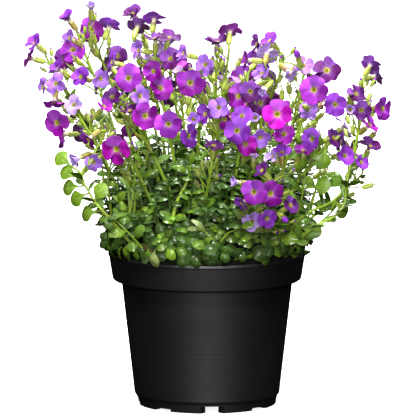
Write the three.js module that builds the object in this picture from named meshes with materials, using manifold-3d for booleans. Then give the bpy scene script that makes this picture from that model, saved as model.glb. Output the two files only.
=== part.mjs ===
// Aubrieta in bloom in a 12 cm nursery pot. Millimetres, +Z up, the viewer stands at -Y.
// The origin is the middle of the pot's underside, on the surface that the pot stands on.
import * as THREE from 'three';
import { mergeVertices } from 'three/addons/utils/BufferGeometryUtils.js';
import Module from 'manifold-3d';

const wasm = await Module();
wasm.setup();

const { Vector2, Vector3, Matrix4 } = THREE;
const UP = new Vector3(0, 0, 1);
const WELD = 1e-3;
const SAME_PLACE = 1e-5;

// Pot
const POT_HEIGHT = 93;
const RIM_RADIUS = 60;
const BAND_HEIGHT = 16.6;
const BAND_FOOT_RADIUS = 57.2;
const SHOULDER_RADIUS = 52;
const WALL_FOOT_RADIUS = 44;
const FOOT_RADIUS = 41.8;
const FOOT_FLARE = 1;
const FOOT_HEIGHT = 5;
const FOOT_STEP = 2;
const FOOT_RING = 5;
const WALL = 1.3;
const FLOOR = 1.6;
const POT_SIDES = 32;
const DRAINS = 8;
// The foot's slots are high and low in turn, as [width, height]
const SLOTS = [[8, 4.4], [12, 1.6]];
const SLOT_TURN = 4.5;
const DRAIN_RADIUS = 4.5;
const DRAIN_CIRCLE = 29;
const DRAIN_SIDES = 10;

// Soil and the clearance between parts that touch
const SEAT = 0.3;
const SOIL_TOP = 84;
const SOIL_SIDES = 16;
const SOIL_FLARE = 1;
const ROOTSTOCK_RADIUS = 9;
const ROOTSTOCK_TAPER = 0.6;
const ROOTSTOCK_DEPTH = 14;
const CROWN_HEIGHT = 89;

// Leaf cushion: its foot on the soil and its rows of leaves as
// [tip radius, tip height, base radius, base height, leaves]
const CUSHION_FOOT = [[52, 84.3], [54, 92.5]];
const CUSHION_ROWS = [
  [63.5, 97.5, 54, 95, 26], [64, 105, 54, 101, 25], [61.5, 113.5, 51.5, 108.5, 24],
  [57, 122, 46.5, 116, 21], [50, 131, 39, 124, 17], [39, 139.5, 29, 131.5, 12], [24, 147, 14, 137.5, 7],
];
const CUSHION_TOP = 141;
const ROOT_SIDES = 14;
const CLEFT_SHARE = 0.35;
const TIP_VARIETY = 2.2;
const TIP_LIFT = 0.7;
const STANDING_LEAVES = 15;
const STANDING_LEAF_LENGTH = 14;
const STANDING_LEAF_WIDTH = 9;
const STANDING_LEAF_LIFT = 2.5;
const STANDING_LEAF_TURN = 0.6;
// The dome that the standing leaves spring from: radius, foot height and rise
const DOME_RADIUS = 50;
const DOME_CROWN = 3;
const DOME_FOOT = 99;
const DOME_RISE = 36;
const CUSHION_REACH = 150;
const GOLDEN_ANGLE = Math.PI * (3 - Math.sqrt(5));

// Flower parts
const CALYX_LENGTH = 5.5;
const CALYX_FOOT_RADIUS = 0.8;
const CALYX_MOUTH_RADIUS = 2;
const TUBE_LENGTH = 3.8;
const THROAT_SHARE = 0.3;
const LEAST_THROAT = 1.9;
const THROAT_LIP = 0.2;
const EYE_DEPTH = 0.6;
const PETAL_THICKNESS = 0.9;
const PETAL_WAVE = 0.5;
const LEAST_PETAL = 0.3;
const LARGE_SPAN = 15.5;
const SMALL_SPAN = 13.6;

// Room round a flower that lies low in the cushion
const HEAD_ROOM = 1.8;
const HEAD_SIDES = 6;

// How far apart flowers stand, and the steps by which one moves clear
const CLEAR_OF_FLOWER = 2.7;
const PUSH = 1.5;
const PUSH_STEPS = 12;
// Where a flower is tested: depths on its axis, and [share of its radius, points] on its petals
const TEST_DEPTHS = [-2, -5, -8];
const TEST_RINGS = [[0.3, 4], [0.62, 8], [0.95, 12]];

// Stems
const STEM_FOOT_RADIUS = 1.5;
const STEM_TIP_RADIUS = 0.95;
const PEDICEL_DROP = 10;
const SIDE_STALK_RADII = [CALYX_MOUTH_RADIUS, CALYX_FOOT_RADIUS, 0.3];
const NECK_BACK = 4;
const NECK_DROP = 5;
const STEM_SHARES = [0.33, 0.66];
const STEM_BOW = 1.7;
const STEM_STEPS = 4;
const STEM_BACK = 8;
const FORK_SHARES = 4;
const ROOT_PULL = 0.52;
const ROOT_REACH = 47;

// Leaves on the stems
const STEM_LEAF_PLACE = 3;
const STEM_LEAF_LENGTH = 12;
const STEM_LEAF_WIDTH = 6.5;
const STEM_LEAF_TURN = 0.4;
const STEM_LEAF_RISE = 0.5;
const LARGE_LEAF_WIDTH = 8.5;
const LARGE_LEAF_DROP = 6;
const LEAF_ARCH = 0.3;
const BLADE_THICKNESS = 1;
const BLADE_CUP = 0.12;
// Places along a blade as [share of its length, half width as share of its width]
const BROAD_BLADE = [[0.36, 0.34], [0.72, 0.5]];
const NARROW_BLADE = [[0.6, 0.5]];

// The view from the front looks down by about 8.6 degrees, so a flower that stands d farther
// back seems 0.15 d higher. "Seen" heights are those of the pot's axis plane.
const VIEW_SLOPE = Math.tan(THREE.MathUtils.degToRad(8.6));
const LAYER_STEP = 22;
const FRONT_DEPTH = 85;
const FRONT_WIDTH = 122;
const FRONT_SHOULDER = 125;
const FRONT_CROWN = 135;
const FRONT_EDGE = 0.06;
const ROLL = 45;
const ROLL_VARIETY = 30;

const POT_COLOUR = 0x1a1a1c;
const SOIL_COLOUR = 0x2e231b;
const LEAF_COLOUR = 0x4c7a30;
const TINTS = {
  pale: 0xd8c4f0, lavender: 0xb98cec, violet: 0x9058c8, orchid: 0xcc70ea,
  magenta: 0xb030c4, fuchsia: 0xdd22dc, deep: 0x681a7c,
};

// Racemes, each a list of flowers with the leading one first:
// [across, seen height, span, turn, nod, opening, tint, further back by]
// turn: where the flower faces, 0 to the viewer, 90 to the right; nod: degrees above level.
const RACEMES = [
  { layer: 0.8, blooms: [
    [-104, 220, 14, -65, 40, 62, 'violet'], [-107, 211, 14, -88, 15, 80, 'magenta'],
  ] },
  { layer: 0.6, blooms: [
    [-84, 235, 13, -60, 50, 50, 'violet'], [-83, 223, 12, -60, 30, 55, 'lavender'],
    [-81, 216, 16.5, -20, 25, 85, 'orchid'], [-86, 211, 15, -10, 0, 88, 'magenta', 3],
    [-90, 204, 14, -70, 35, 62, 'violet'],
  ] },
  { layer: 1, blooms: [
    [-70, 242, 9, 0, 60, 35, 'pale'], [-70, 228, 16.5, -5, 5, 88, 'magenta'],
    [-59, 230, 15, 150, 50, 80, 'violet', 3],
  ] },
  { layer: 1, blooms: [
    [-57, 208, 14, -70, 20, 75, 'violet'], [-54, 212, 14, -30, 10, 85, 'deep', 5],
    [-64, 198, 13, 25, 10, 78, 'lavender'], [-76, 199, 13, -40, 20, 70, 'violet'],
  ] },
  { layer: 2, blooms: [
    [-45, 238, 14, -50, 50, 60, 'violet'], [-42, 230, 15, 160, 40, 80, 'deep'],
    [-32, 235, 15, 170, 55, 80, 'violet'],
  ] },
  { layer: 1, blooms: [
    [-31, 222, 15, 0, 75, 80, 'magenta'], [-23, 223, 15, 30, 70, 80, 'magenta'],
    [-41, 215, 14, -60, 10, 75, 'lavender'], [-35, 211, 8, -60, 20, 35, 'pale'],
  ] },
  { layer: 0.7, blooms: [
    [-14, 213, 12, -65, 20, 65, 'lavender'], [-22, 210, 14, -20, 30, 80, 'deep', 4],
    [-17, 202, 9, -40, 50, 45, 'pale'],
  ] },
  { layer: 0.35, root: [-24, -21], blooms: [
    [-47, 198, 17.6, -5, 10, 85, 'orchid'], [-32, 202, 14, -35, 10, 80, 'magenta'],
    [-28, 192, 16.5, 25, 30, 82, 'magenta'],
  ] },
  { layer: 0, root: [3, -19], blooms: [
    [-1, 206, 14, -30, 10, 85, 'lavender', 3], [-10, 195, 18, 0, 5, 88, 'magenta'],
  ] },
  { layer: 0, root: [5, -30], blooms: [
    [7, 180, 14, 0, 10, 85, 'lavender', 4], [-1, 176, 14, -45, 5, 80, 'violet'],
    [-8, 173, 10, 0, 20, 45, 'lavender', 6],
  ] },
  { layer: 0.9, blooms: [
    [4, 157, 13, 20, 70, 75, 'deep'], [-11, 163, 15, 45, 0, 85, 'violet'],
  ] },
  { layer: 0, root: [-13, -31], blooms: [
    [-40, 187, 15, 40, 10, 82, 'lavender', 3], [-46, 178, 13, -20, 70, 75, 'deep', 5],
    [-37, 175, 17.5, 20, 5, 88, 'magenta'], [-23, 170, 17.5, 0, 5, 86, 'orchid'],
  ] },
  { layer: 1, blooms: [
    [-62, 181, 12, 45, 45, 58, 'magenta'], [-57, 187, 12, -20, 30, 80, 'deep', 3],
  ] },
  { layer: 1.4, blooms: [
    [14, 227, 15.5, 170, 50, 80, 'magenta'], [6, 220, 16.5, 0, 75, 82, 'violet'],
  ] },
  { layer: 1, blooms: [
    [38, 221, 14, -50, 45, 65, 'violet', 4], [30, 219, 14, -75, 10, 78, 'deep', 3],
    [36, 213, 15, 172, 30, 85, 'pale'], [24, 209, 14, -85, 5, 80, 'magenta'],
    [33, 201, 14.5, -45, 40, 78, 'lavender'],
  ] },
  { layer: 0.7, blooms: [
    [54, 213, 7, -30, 60, 12, 'violet'], [58, 206, 13, 0, 35, 80, 'lavender'],
    [50, 201, 11, 50, -30, 65, 'pale'], [72, 203, 19, 0, 40, 85, 'magenta'],
  ] },
  { layer: 0, blooms: [
    [64, 191, 18.5, 0, 5, 88, 'orchid'], [77, 182, 15, 5, 5, 88, 'violet'],
    [61, 179, 14, 160, -20, 80, 'lavender', 5],
  ] },
  { layer: 1.5, via: [[62, 112], [79, 124], [88, 145]], blooms: [
    [99, 207, 14, 150, 40, 75, 'violet'], [102, 200, 14, 120, 10, 80, 'deep'],
    [90, 189, 14, 45, 45, 80, 'magenta'],
  ] },
  { layer: 0.4, via: [[62, 106], [81, 119], [85, 138]], blooms: [
    [93, 179, 13, 0, 10, 85, 'deep', 8], [86, 179, 8, 0, 10, 35, 'pale'],
    [106, 180, 15.5, 48, 5, 85, 'magenta'], [98, 170, 14, 65, 40, 78, 'magenta'],
  ] },
  { layer: 0.9, root: [38, -4], via: [[57, 114], [76, 124], [87, 134]], blooms: [
    [98, 157, 16, 50, 65, 80, 'magenta'], [93, 147, 11, 40, 30, 66, 'violet'],
  ], leaves: [[84, 114], [69, 104], [60, 98], [78, 121]] },
  { layer: 0.5, blooms: [
    [63, 161, 15, -35, 5, 82, 'violet'], [58, 154, 13.5, 0, 70, 78, 'magenta'],
    [76, 162, 13, 50, 20, 78, 'deep', 4], [83, 151, 13, 30, 20, 78, 'violet', 6],
  ], leaves: [[57, 147], [74, 133], [52, 127], [69, 143]] },
  { layer: 0.6, root: [10, -12], blooms: [
    [26, 190, 14, 0, 10, 85, 'deep', 5], [19, 187, 16.5, -30, 5, 86, 'magenta'],
    [32, 183, 15, 0, 0, 85, 'deep', 6], [34, 190, 9, -40, -30, 30, 'pale', -6],
  ] },
  { layer: 0, root: [13, -16], blooms: [
    [42, 176, 19, 0, 10, 88, 'fuchsia'],
    [46, 164, 14, 0, 20, 85, 'magenta', 6],
  ] },
  { layer: 0.25, blooms: [
    [21, 175, 14, 0, 35, 80, 'violet', 7], [18, 166, 16.5, 0, 0, 88, 'violet'],
    [11, 173, 14, -45, 0, 80, 'magenta', 6], [23, 158, 15, -5, -10, 85, 'fuchsia', 4],
    [32, 162, 13.5, 10, -15, 80, 'lavender', 2],
    [29, 174, 8.5, 0, 10, 40, 'pale', 5],
  ] },
  { layer: 0.45, root: [17, -22], blooms: [
    [45, 153, 13, 0, 65, 74, 'violet', 3], [39, 150, 11, -50, 40, 66, 'pale'],
    [33, 142, 12, -55, 45, 74, 'magenta'], [28, 151, 7, 0, 60, 40, 'pale'],
  ] },
  { layer: 0, blooms: [
    [28, 129, 17, -5, 0, 88, 'orchid'], [38, 128, 17, 20, 0, 86, 'magenta', 2],
    [21, 122, 11, -50, -30, 70, 'violet'], [17, 135, 9, -70, 10, 45, 'pale'],
  ] },
  { layer: 0.3, root: [17, -33], blooms: [
    [50, 121, 12, 40, 30, 78, 'magenta'], [36, 113, 13, 20, -10, 85, 'violet', 2],
    [27, 111, 13.5, 0, -10, 85, 'lavender'], [47, 112, 6.5, 30, -20, 12, 'violet'],
  ] },
  { layer: 0, blooms: [
    [-54, 155, 19.5, -25, -15, 86, 'fuchsia'],
  ] },
  { layer: 0.3, blooms: [
    [-91, 195, 14.5, -35, 20, 82, 'pale'], [-99, 193, 13, -75, 20, 76, 'lavender'],
    [-92, 184, 14, -20, -65, 80, 'magenta', 3], [-80, 182, 13, -20, 30, 80, 'pale'],
    [-90, 171, 17.5, -30, 0, 86, 'magenta'],
  ] },
  { layer: 0.4, via: [[-58, 112], [-70, 128], [-75, 140]], blooms: [
    [-71, 161, 13, -55, -30, 78, 'magenta'], [-78, 149, 12, -65, -20, 56, 'pale'],
    [-68, 147, 12, -10, 0, 78, 'lavender'],
  ], leaves: [[-91, 152], [-88, 143], [-87, 131], [-82, 123], [-76, 115], [-61, 134]] },
];

// The racemes inside and on the far half:
// [direction in degrees from +X, distance out, height of the leader, turned up by]
const BACK_RACEMES = [
  [12, 88, 166], [28, 78, 190], [42, 90, 152], [58, 62, 202], [72, 88, 170], [84, 46, 197],
  [98, 84, 186], [116, 58, 208], [122, 90, 156], [142, 80, 200], [158, 90, 172],
  [160, 24, 204, 40], [14, 17, 197, 45], [148, 50, 199, 30], [28, 46, 194, 35], [8, 62, 186, 25],
];
// How much chance moves their flowers, in mm, and turns them, in degrees
const BACK_SHIFT = 1.5;
const BACK_LIFT = 2;
const BACK_TURN = 12;
const BACK_NOD = 10;
// Their flowers, the leader first: [aside, further in, lower, span, aside turn, nod, opening]
const BACK_FLOWERS = [
  [0, 3, 0, 17, 0, 30, 82], [10, 0, 10, 18, 20, 5, 86], [-10, 1, 11, 15, -25, 10, 84],
];

function radians(degrees) {
  return THREE.MathUtils.degToRad(degrees);
}

// A draw between -1 and 1 that is the same for the same seed
function draw(seed) {
  const wave = Math.sin(seed * 12.9898 + 4.1414) * 43758.5453;
  return 2 * (wave - Math.floor(wave)) - 1;
}

// Where the rounded front of the plant lies, for a place in the view
function frontDepth(across, seen) {
  const side = across / FRONT_WIDTH;
  const rise = Math.max(0, seen - FRONT_SHOULDER) / FRONT_CROWN;
  return -FRONT_DEPTH * Math.sqrt(Math.max(FRONT_EDGE, 1 - side * side - rise * rise));
}

function placeSeen(across, seen, back) {
  const depth = frontDepth(across, seen) + back;
  return new Vector3(across, depth, seen - depth * VIEW_SLOPE);
}

function facing(turn, nod) {
  const flat = Math.cos(radians(nod));
  const aside = Math.sin(radians(turn)) * flat;
  const forward = -Math.cos(radians(turn)) * flat;
  return new Vector3(aside, forward, Math.sin(radians(nod)));
}

// One closed solid from corner points and triangles, turned outward
function solid(points, triangles) {
  const volume = triangles.reduce((sum, [a, b, c]) => (
    sum + points[a].dot(new Vector3().crossVectors(points[b], points[c]))), 0);
  const turned = volume < 0 ? triangles.map(([a, b, c]) => [a, c, b]) : triangles;
  return new wasm.Manifold(new wasm.Mesh({
    numProp: 3,
    vertProperties: Float32Array.from(points.flatMap((p) => [p.x, p.y, p.z])),
    triVerts: Uint32Array.from(turned.flat()),
  }));
}

function solidFromGeometry(geometry) {
  const plain = geometry.index ? geometry.toNonIndexed() : geometry;
  plain.deleteAttribute('normal');
  plain.deleteAttribute('uv');
  const merged = mergeVertices(plain, WELD);
  const { position } = merged.attributes;
  const points = Array.from({ length: position.count }, (_, i) => (
    new Vector3().fromBufferAttribute(position, i)));
  const triangles = [];
  for (let i = 0; i < merged.index.count; i += 3) {
    const corners = [0, 1, 2].map((k) => merged.index.getX(i + k));
    if (new Set(corners).size === 3) triangles.push(corners);
  }
  return solid(points, triangles);
}

function unite(solids) {
  if (solids.length === 1) return solids[0];
  const half = Math.ceil(solids.length / 2);
  return unite(solids.slice(0, half)).add(unite(solids.slice(half)));
}

// The separate bodies of a solid as triangle corners, the largest first
function bodiesOf(shape) {
  const mesh = shape.getMesh();
  const owner = Array.from({ length: mesh.numVert }, (_, i) => i);
  const find = (start) => {
    let i = start;
    while (owner[i] !== i) i = owner[i];
    owner[start] = i;
    return i;
  };
  for (let t = 0; t < mesh.triVerts.length; t += 3) {
    owner[find(mesh.triVerts[t])] = find(mesh.triVerts[t + 1]);
    owner[find(mesh.triVerts[t + 1])] = find(mesh.triVerts[t + 2]);
  }
  const bodies = new Map();
  for (let t = 0; t < mesh.triVerts.length; t += 3) {
    const key = find(mesh.triVerts[t]);
    if (!bodies.has(key)) bodies.set(key, { corners: [], volume: 0 });
    const body = bodies.get(key);
    const [a, b, c] = [0, 1, 2].map((k) => (
      new Vector3().fromArray(mesh.vertProperties, mesh.triVerts[t + k] * mesh.numProp)));
    body.corners.push(a, b, c);
    body.volume += a.dot(new Vector3().crossVectors(b, c)) / 6;
  }
  return [...bodies.values()].sort((one, two) => two.volume - one.volume);
}

// Corners of one ring of a tube, square to its course
function ringAt(points, i, radius, sides, across) {
  const before = points[Math.max(0, i - 1)];
  const after = points[Math.min(points.length - 1, i + 1)];
  const along = after.clone().sub(before).normalize();
  const first = across.clone().addScaledVector(along, -across.dot(along)).normalize();
  const side = new Vector3().crossVectors(along, first);
  const corners = Array.from({ length: sides }, (_, k) => {
    const angle = (k / sides) * 2 * Math.PI;
    return points[i].clone()
      .addScaledVector(first, Math.cos(angle) * radius)
      .addScaledVector(side, Math.sin(angle) * radius);
  });
  return { corners, first };
}

// Triangles between rings that follow each other in one list of corners
function ringWalls(rings, sides, start = 0) {
  const triangles = [];
  for (let i = 0; i + 1 < rings; i += 1) {
    for (let k = 0; k < sides; k += 1) {
      const next = (k + 1) % sides;
      const low = start + i * sides;
      const high = low + sides;
      triangles.push([low + k, low + next, high + next], [low + k, high + next, high + k]);
    }
  }
  return triangles;
}

function ringCap(start, sides) {
  return Array.from({ length: sides - 2 }, (_, k) => [start, start + k + 1, start + k + 2]);
}

function turnOver(triangles) {
  return triangles.map(([a, b, c]) => [a, c, b]);
}

// A closed tube through the points, with a radius at each; "across" turns its first ring
function tube(points, radii, sides, across) {
  const corners = [];
  let first = across;
  points.forEach((_, i) => {
    const ring = ringAt(points, i, radii[i], sides, first);
    first = ring.first;
    corners.push(...ring.corners);
  });
  const last = (points.length - 1) * sides;
  return solid(corners, [
    ...ringWalls(points.length, sides), ...turnOver(ringCap(0, sides)), ...ringCap(last, sides)]);
}

// A leaf: an arched blade with a keel, widest past its middle, from its base to its tip
function leaf(base, tip, width, lift, up, stations, grow = 0) {
  const middle = base.clone().lerp(tip, 0.5).addScaledVector(up, lift);
  const curve = new THREE.QuadraticBezierCurve3(base, middle, tip);
  const corners = [base.clone(), tip.clone()];
  stations.forEach(([share, half]) => {
    const point = curve.getPoint(share);
    const along = curve.getTangent(share);
    const side = new Vector3().crossVectors(along, up).normalize();
    const top = new Vector3().crossVectors(side, along).normalize();
    const reach = width * half + grow;
    const thick = BLADE_THICKNESS / 2 + grow;
    corners.push(
      point.clone().addScaledVector(side, reach).addScaledVector(top, BLADE_CUP * reach),
      point.clone().addScaledVector(top, thick),
      point.clone().addScaledVector(side, -reach).addScaledVector(top, BLADE_CUP * reach),
      point.clone().addScaledVector(top, -thick),
    );
  });
  const triangles = ringWalls(stations.length, 4, 2);
  const last = corners.length - 4;
  for (let k = 0; k < 4; k += 1) {
    const next = (k + 1) % 4;
    triangles.push([0, 2 + next, 2 + k], [1, last + k, last + next]);
  }
  return solid(corners, triangles);
}

// The petals' edge as share of a quarter turn and share of the radius, drawn in at the clefts
const PETAL_EDGES = {
  small: [[0, 0.6], [0.5, 1.03]],
  middle: [[0, 0.6], [0.26, 0.98], [0.74, 0.98]],
  large: [[0, 0.58], [0.17, 0.9], [0.5, 1], [0.83, 0.9]],
};

function petalEdge(span) {
  if (span > LARGE_SPAN) return PETAL_EDGES.large;
  return span > SMALL_SPAN ? PETAL_EDGES.middle : PETAL_EDGES.small;
}

// A four-petalled flower on its calyx and stalk, one closed solid. The petals spread from the
// mouth of a short tube, thin at their edge; the stalk ends inside the stem that carries it.
function flower(bloom) {
  const radius = bloom.span / 2;
  const throat = Math.max(LEAST_THROAT, THROAT_SHARE * radius);
  const spread = radians(bloom.opening);
  const edge = petalEdge(bloom.span);
  const place = (x, y, z) => new Vector3(x, y, z).applyMatrix4(bloom.frame);
  const ring = (away, height) => [0, 1, 2, 3].map((k) => (
    place(Math.cos(k * Math.PI / 2) * away, Math.sin(k * Math.PI / 2) * away, height)));
  const rim = [0, 1, 2, 3].flatMap((petal) => edge.map(([share, reach], k) => {
    const angle = (petal + share) * Math.PI / 2;
    const out = Math.max(LEAST_PETAL, reach * radius - throat);
    const away = throat + out * Math.sin(spread);
    const wave = k === 0 ? 0 : PETAL_WAVE * Math.cos(petal * Math.PI);
    return place(Math.cos(angle) * away, Math.sin(angle) * away, out * Math.cos(spread) + wave);
  }));
  const thick = PETAL_THICKNESS / 2;
  const slant = Math.cos(spread) * thick;
  const count = rim.length;
  const [upper, under, waist] = [count, count + 4, count + 8];
  const stalk = [bloom.mouth, ...bloom.stalk];
  const radii = stalkRadii(stalk.length);
  const corners = [...rim, ...ring(throat - slant - THROAT_LIP, thick), ...ring(throat + slant, -thick)];
  let first = new Vector3().setFromMatrixColumn(bloom.frame, 0);
  stalk.forEach((_, i) => {
    const section = ringAt(stalk, i, radii[i], 4, first);
    first = section.first;
    corners.push(section.corners[0], section.corners[3], section.corners[2], section.corners[1]);
  });
  const eye = corners.length;
  corners.push(place(0, 0, -EYE_DEPTH));
  const cap = ringCap(waist + 4 * (stalk.length - 1), 4);
  const triangles = [...ringWalls(1 + stalk.length, 4, under), ...cap];
  for (let petal = 0; petal < 4; petal += 1) {
    const next = (petal + 1) % 4;
    const turn = edge.length / 2;
    edge.forEach((_, k) => {
      const one = petal * edge.length + k;
      const two = (one + 1) % count;
      const near = k < turn ? petal : next;
      triangles.push([two, one, upper + near], [one, two, under + near]);
    });
    const middle = petal * edge.length + Math.ceil(turn);
    triangles.push([middle, upper + petal, upper + next], [under + petal, middle, under + next]);
    triangles.push([eye, upper + next, upper + petal]);
  }
  return solid(corners, triangles);
}

// A flower's frame at its mouth: its axis, and its petals rolled round it
function flowerFrame(centre, axis, roll) {
  const across = new Vector3().crossVectors(UP, axis).normalize();
  const up = new Vector3().crossVectors(axis, across);
  const turn = radians(roll);
  const one = across.multiplyScalar(Math.cos(turn)).addScaledVector(up, Math.sin(turn));
  const two = new Vector3().crossVectors(axis, one);
  return new Matrix4().makeBasis(one, two, axis).setPosition(centre);
}

// Points on a flower's petals and tube, to tell whether it stands clear of another
function cloud({ centre, axis, span, opening }) {
  const frame = flowerFrame(centre, axis, 0);
  const points = TEST_DEPTHS.map((height) => new Vector3(0, 0, height));
  TEST_RINGS.forEach(([share, count]) => {
    const out = share * span / 2;
    const away = out * Math.sin(radians(opening));
    for (let k = 0; k < count; k += 1) {
      const angle = (k / count) * 2 * Math.PI;
      const height = out * Math.cos(radians(opening));
      points.push(new Vector3(Math.cos(angle) * away, Math.sin(angle) * away, height));
    }
  });
  return points.map((point) => point.applyMatrix4(frame));
}

function tooClose(one, two) {
  return one.some((p) => two.some((q) => p.distanceToSquared(q) < CLEAR_OF_FLOWER ** 2));
}

// Every flower in turn moves in toward the plant until it stands clear of those before it
function standClear(blooms) {
  const clouds = [];
  blooms.forEach((bloom) => {
    let points = cloud(bloom);
    for (let step = 0; step < PUSH_STEPS; step += 1) {
      if (!clouds.some((other) => tooClose(points, other))) break;
      bloom.centre.addScaledVector(bloom.inward, PUSH);
      points = points.map((point) => point.addScaledVector(bloom.inward, PUSH));
    }
    clouds.push(points);
  });
}

function fixBloom(bloom) {
  bloom.mouth = bloom.centre.clone().addScaledVector(bloom.axis, -TUBE_LENGTH);
  bloom.foot = bloom.mouth.clone().addScaledVector(bloom.axis, -CALYX_LENGTH);
  bloom.frame = flowerFrame(bloom.centre, bloom.axis, bloom.roll);
}

function frontRaceme({ layer, root, via = [], leaves = [], blooms }, index) {
  const inward = new Vector3(0, 1, -VIEW_SLOPE);
  return { via, leafTips: leaves, back: layer * LAYER_STEP, rootPlace: root, blooms: blooms.map(
    ([across, seen, span, turn, nod, opening, tint, back = 0], k) => ({
      centre: placeSeen(across, seen, layer * LAYER_STEP + back), axis: facing(turn, nod),
      span, opening, tint, inward, roll: ROLL + ROLL_VARIETY * draw(index * 9 + k),
    })) };
}

function backRaceme([angle, reach, height, turnUp = 0], index) {
  const out = new Vector3(Math.cos(radians(angle)), Math.sin(radians(angle)), 0);
  const aside = new Vector3(-out.y, out.x, 0);
  const tints = Object.keys(TINTS);
  const blooms = BACK_FLOWERS.map(([sideways, inward, drop, span, turn, nod, opening], k) => {
    const seed = 500 + index * 7 + k;
    const centre = out.clone().multiplyScalar(reach - inward)
      .addScaledVector(aside, sideways + BACK_SHIFT * draw(seed))
      .addScaledVector(UP, height - drop + BACK_LIFT * draw(seed + 90));
    const axis = facing(
      angle + 90 + turn + BACK_TURN * draw(seed + 30), nod + turnUp + BACK_NOD * draw(seed + 60));
    const tint = tints[(index * 3 + k * 2) % tints.length];
    const roll = ROLL + ROLL_VARIETY * draw(seed);
    return { centre, axis, span, opening, tint, roll, inward: out.clone().negate() };
  });
  return { via: [], leafTips: [], back: 0, blooms };
}

function pointsAlong(path) {
  const points = [];
  for (let i = 1; i + 1 < path.length; i += 1) {
    for (let k = 0; k < FORK_SHARES; k += 1) {
      points.push(path[i].clone().lerp(path[i + 1], (k + 0.5) / FORK_SHARES));
    }
  }
  return points;
}

// The nearest free point of a stem, so that no two stalks or leaves leave it at one place
function takeFork(free, place) {
  let best = 0;
  free.forEach((point, i) => {
    if (point.distanceTo(place) < free[best].distanceTo(place)) best = i;
  });
  return free.splice(best, 1)[0];
}

// Radii from the calyx mouth down: a side flower has a short stalk, the leading one the whole stem
function stalkRadii(count) {
  if (count === 3) return SIDE_STALK_RADII;
  const stem = Array.from({ length: count - 2 }, (_, i) => (
    THREE.MathUtils.lerp(STEM_TIP_RADIUS, STEM_FOOT_RADIUS, (i + 1) / (count - 2))));
  return [CALYX_MOUTH_RADIUS, CALYX_FOOT_RADIUS, ...stem];
}

// The raceme's stem from its root to the leading flower, the stalks of the others, and leaves
function withStem({ blooms, via, leafTips, back, rootPlace }, index) {
  const leader = blooms[0];
  const middle = new Vector3();
  blooms.forEach((bloom) => middle.addScaledVector(bloom.foot, 1 / blooms.length));
  const root = new Vector3(middle.x, middle.y, 0).multiplyScalar(ROOT_PULL).clampLength(0, ROOT_REACH);
  if (rootPlace) root.set(...rootPlace, 0);
  root.z = CROWN_HEIGHT;
  const neck = leader.foot.clone().addScaledVector(leader.axis, -NECK_BACK).addScaledVector(UP, -NECK_DROP);
  const reach = neck.clone().sub(root);
  const course = via.length > 0
    ? via.map(([across, seen]) => placeSeen(across, seen, back + STEM_BACK))
    : STEM_SHARES.map((share) => new Vector3(
      root.x + reach.x * share ** STEM_BOW,
      root.y + reach.y * share ** STEM_BOW,
      root.z + reach.z * share,
    ));
  const knots = [root, ...course, neck, leader.foot];
  const curve = new THREE.CatmullRomCurve3(knots, false, 'catmullrom', 0.5);
  const path = curve.getPoints(STEM_STEPS + via.length * 2);
  const free = pointsAlong(path);
  leader.stalk = [...path].reverse();
  blooms.slice(1).forEach((bloom) => {
    bloom.stalk = [bloom.foot, takeFork(free, bloom.foot.clone().addScaledVector(UP, -PEDICEL_DROP))];
  });
  const large = leafTips.map(([across, seen]) => {
    const tip = placeSeen(across, seen, back + STEM_BACK);
    const base = takeFork(free, tip.clone().addScaledVector(UP, -LARGE_LEAF_DROP));
    return { base, tip, width: LARGE_LEAF_WIDTH, stations: BROAD_BLADE };
  });
  const base = free[Math.min(STEM_LEAF_PLACE, free.length - 1)];
  const angle = GOLDEN_ANGLE * index + STEM_LEAF_TURN * draw(index * 5);
  const outward = new Vector3(Math.cos(angle), Math.sin(angle), STEM_LEAF_RISE);
  const tip = base.clone().addScaledVector(outward, STEM_LEAF_LENGTH);
  const small = { base, tip, width: STEM_LEAF_WIDTH, stations: NARROW_BLADE };
  return { blooms, leaves: [...large, small] };
}

function leafSolids({ leaves }, grow = 0) {
  return leaves.map(({ base, tip, width, stations }) => (
    leaf(base, tip, width, width * LEAF_ARCH, UP, stations, grow)));
}

// The room that a raceme's stem, stalks, leaves and low flowers need in the cushion
function spaceFor(raceme) {
  const low = raceme.blooms.filter(({ stalk }) => stalk.at(-1).z < CUSHION_REACH);
  const stalks = low.map(({ mouth, stalk, frame }) => {
    const points = [mouth, ...stalk];
    const end = points.at(-1).clone().sub(points.at(-2)).setLength(SEAT);
    points[points.length - 1] = points.at(-1).clone().add(end);
    const radii = stalkRadii(points.length).map((radius) => radius + SEAT * Math.SQRT2);
    return tube(points, radii, 4, new Vector3().setFromMatrixColumn(frame, 0));
  });
  const lowFlowers = raceme.blooms.filter(({ centre, span }) => (
    centre.z < CUSHION_REACH && Math.hypot(centre.x, centre.y) - span / 2 < CUSHION_ROWS[1][0]));
  const heads = lowFlowers.map(({ centre, axis, span, opening, frame }) => {
    const depth = span / 2 * Math.cos(radians(opening)) + HEAD_ROOM;
    const ends = [-HEAD_ROOM, depth].map((height) => centre.clone().addScaledVector(axis, height));
    const radius = span / 2 + HEAD_ROOM;
    return tube(ends, [radius, radius], HEAD_SIDES, new Vector3().setFromMatrixColumn(frame, 0));
  });
  return [...stalks, ...heads, ...leafSolids(raceme, SEAT)];
}

// A lathed solid round the vertical axis; the profile lists radius and height
function turned(profile, sides) {
  const outline = profile.map(([radius, height]) => new Vector2(radius, height));
  const lathe = new THREE.LatheGeometry(outline, sides);
  return solidFromGeometry(lathe.rotateX(Math.PI / 2));
}

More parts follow.
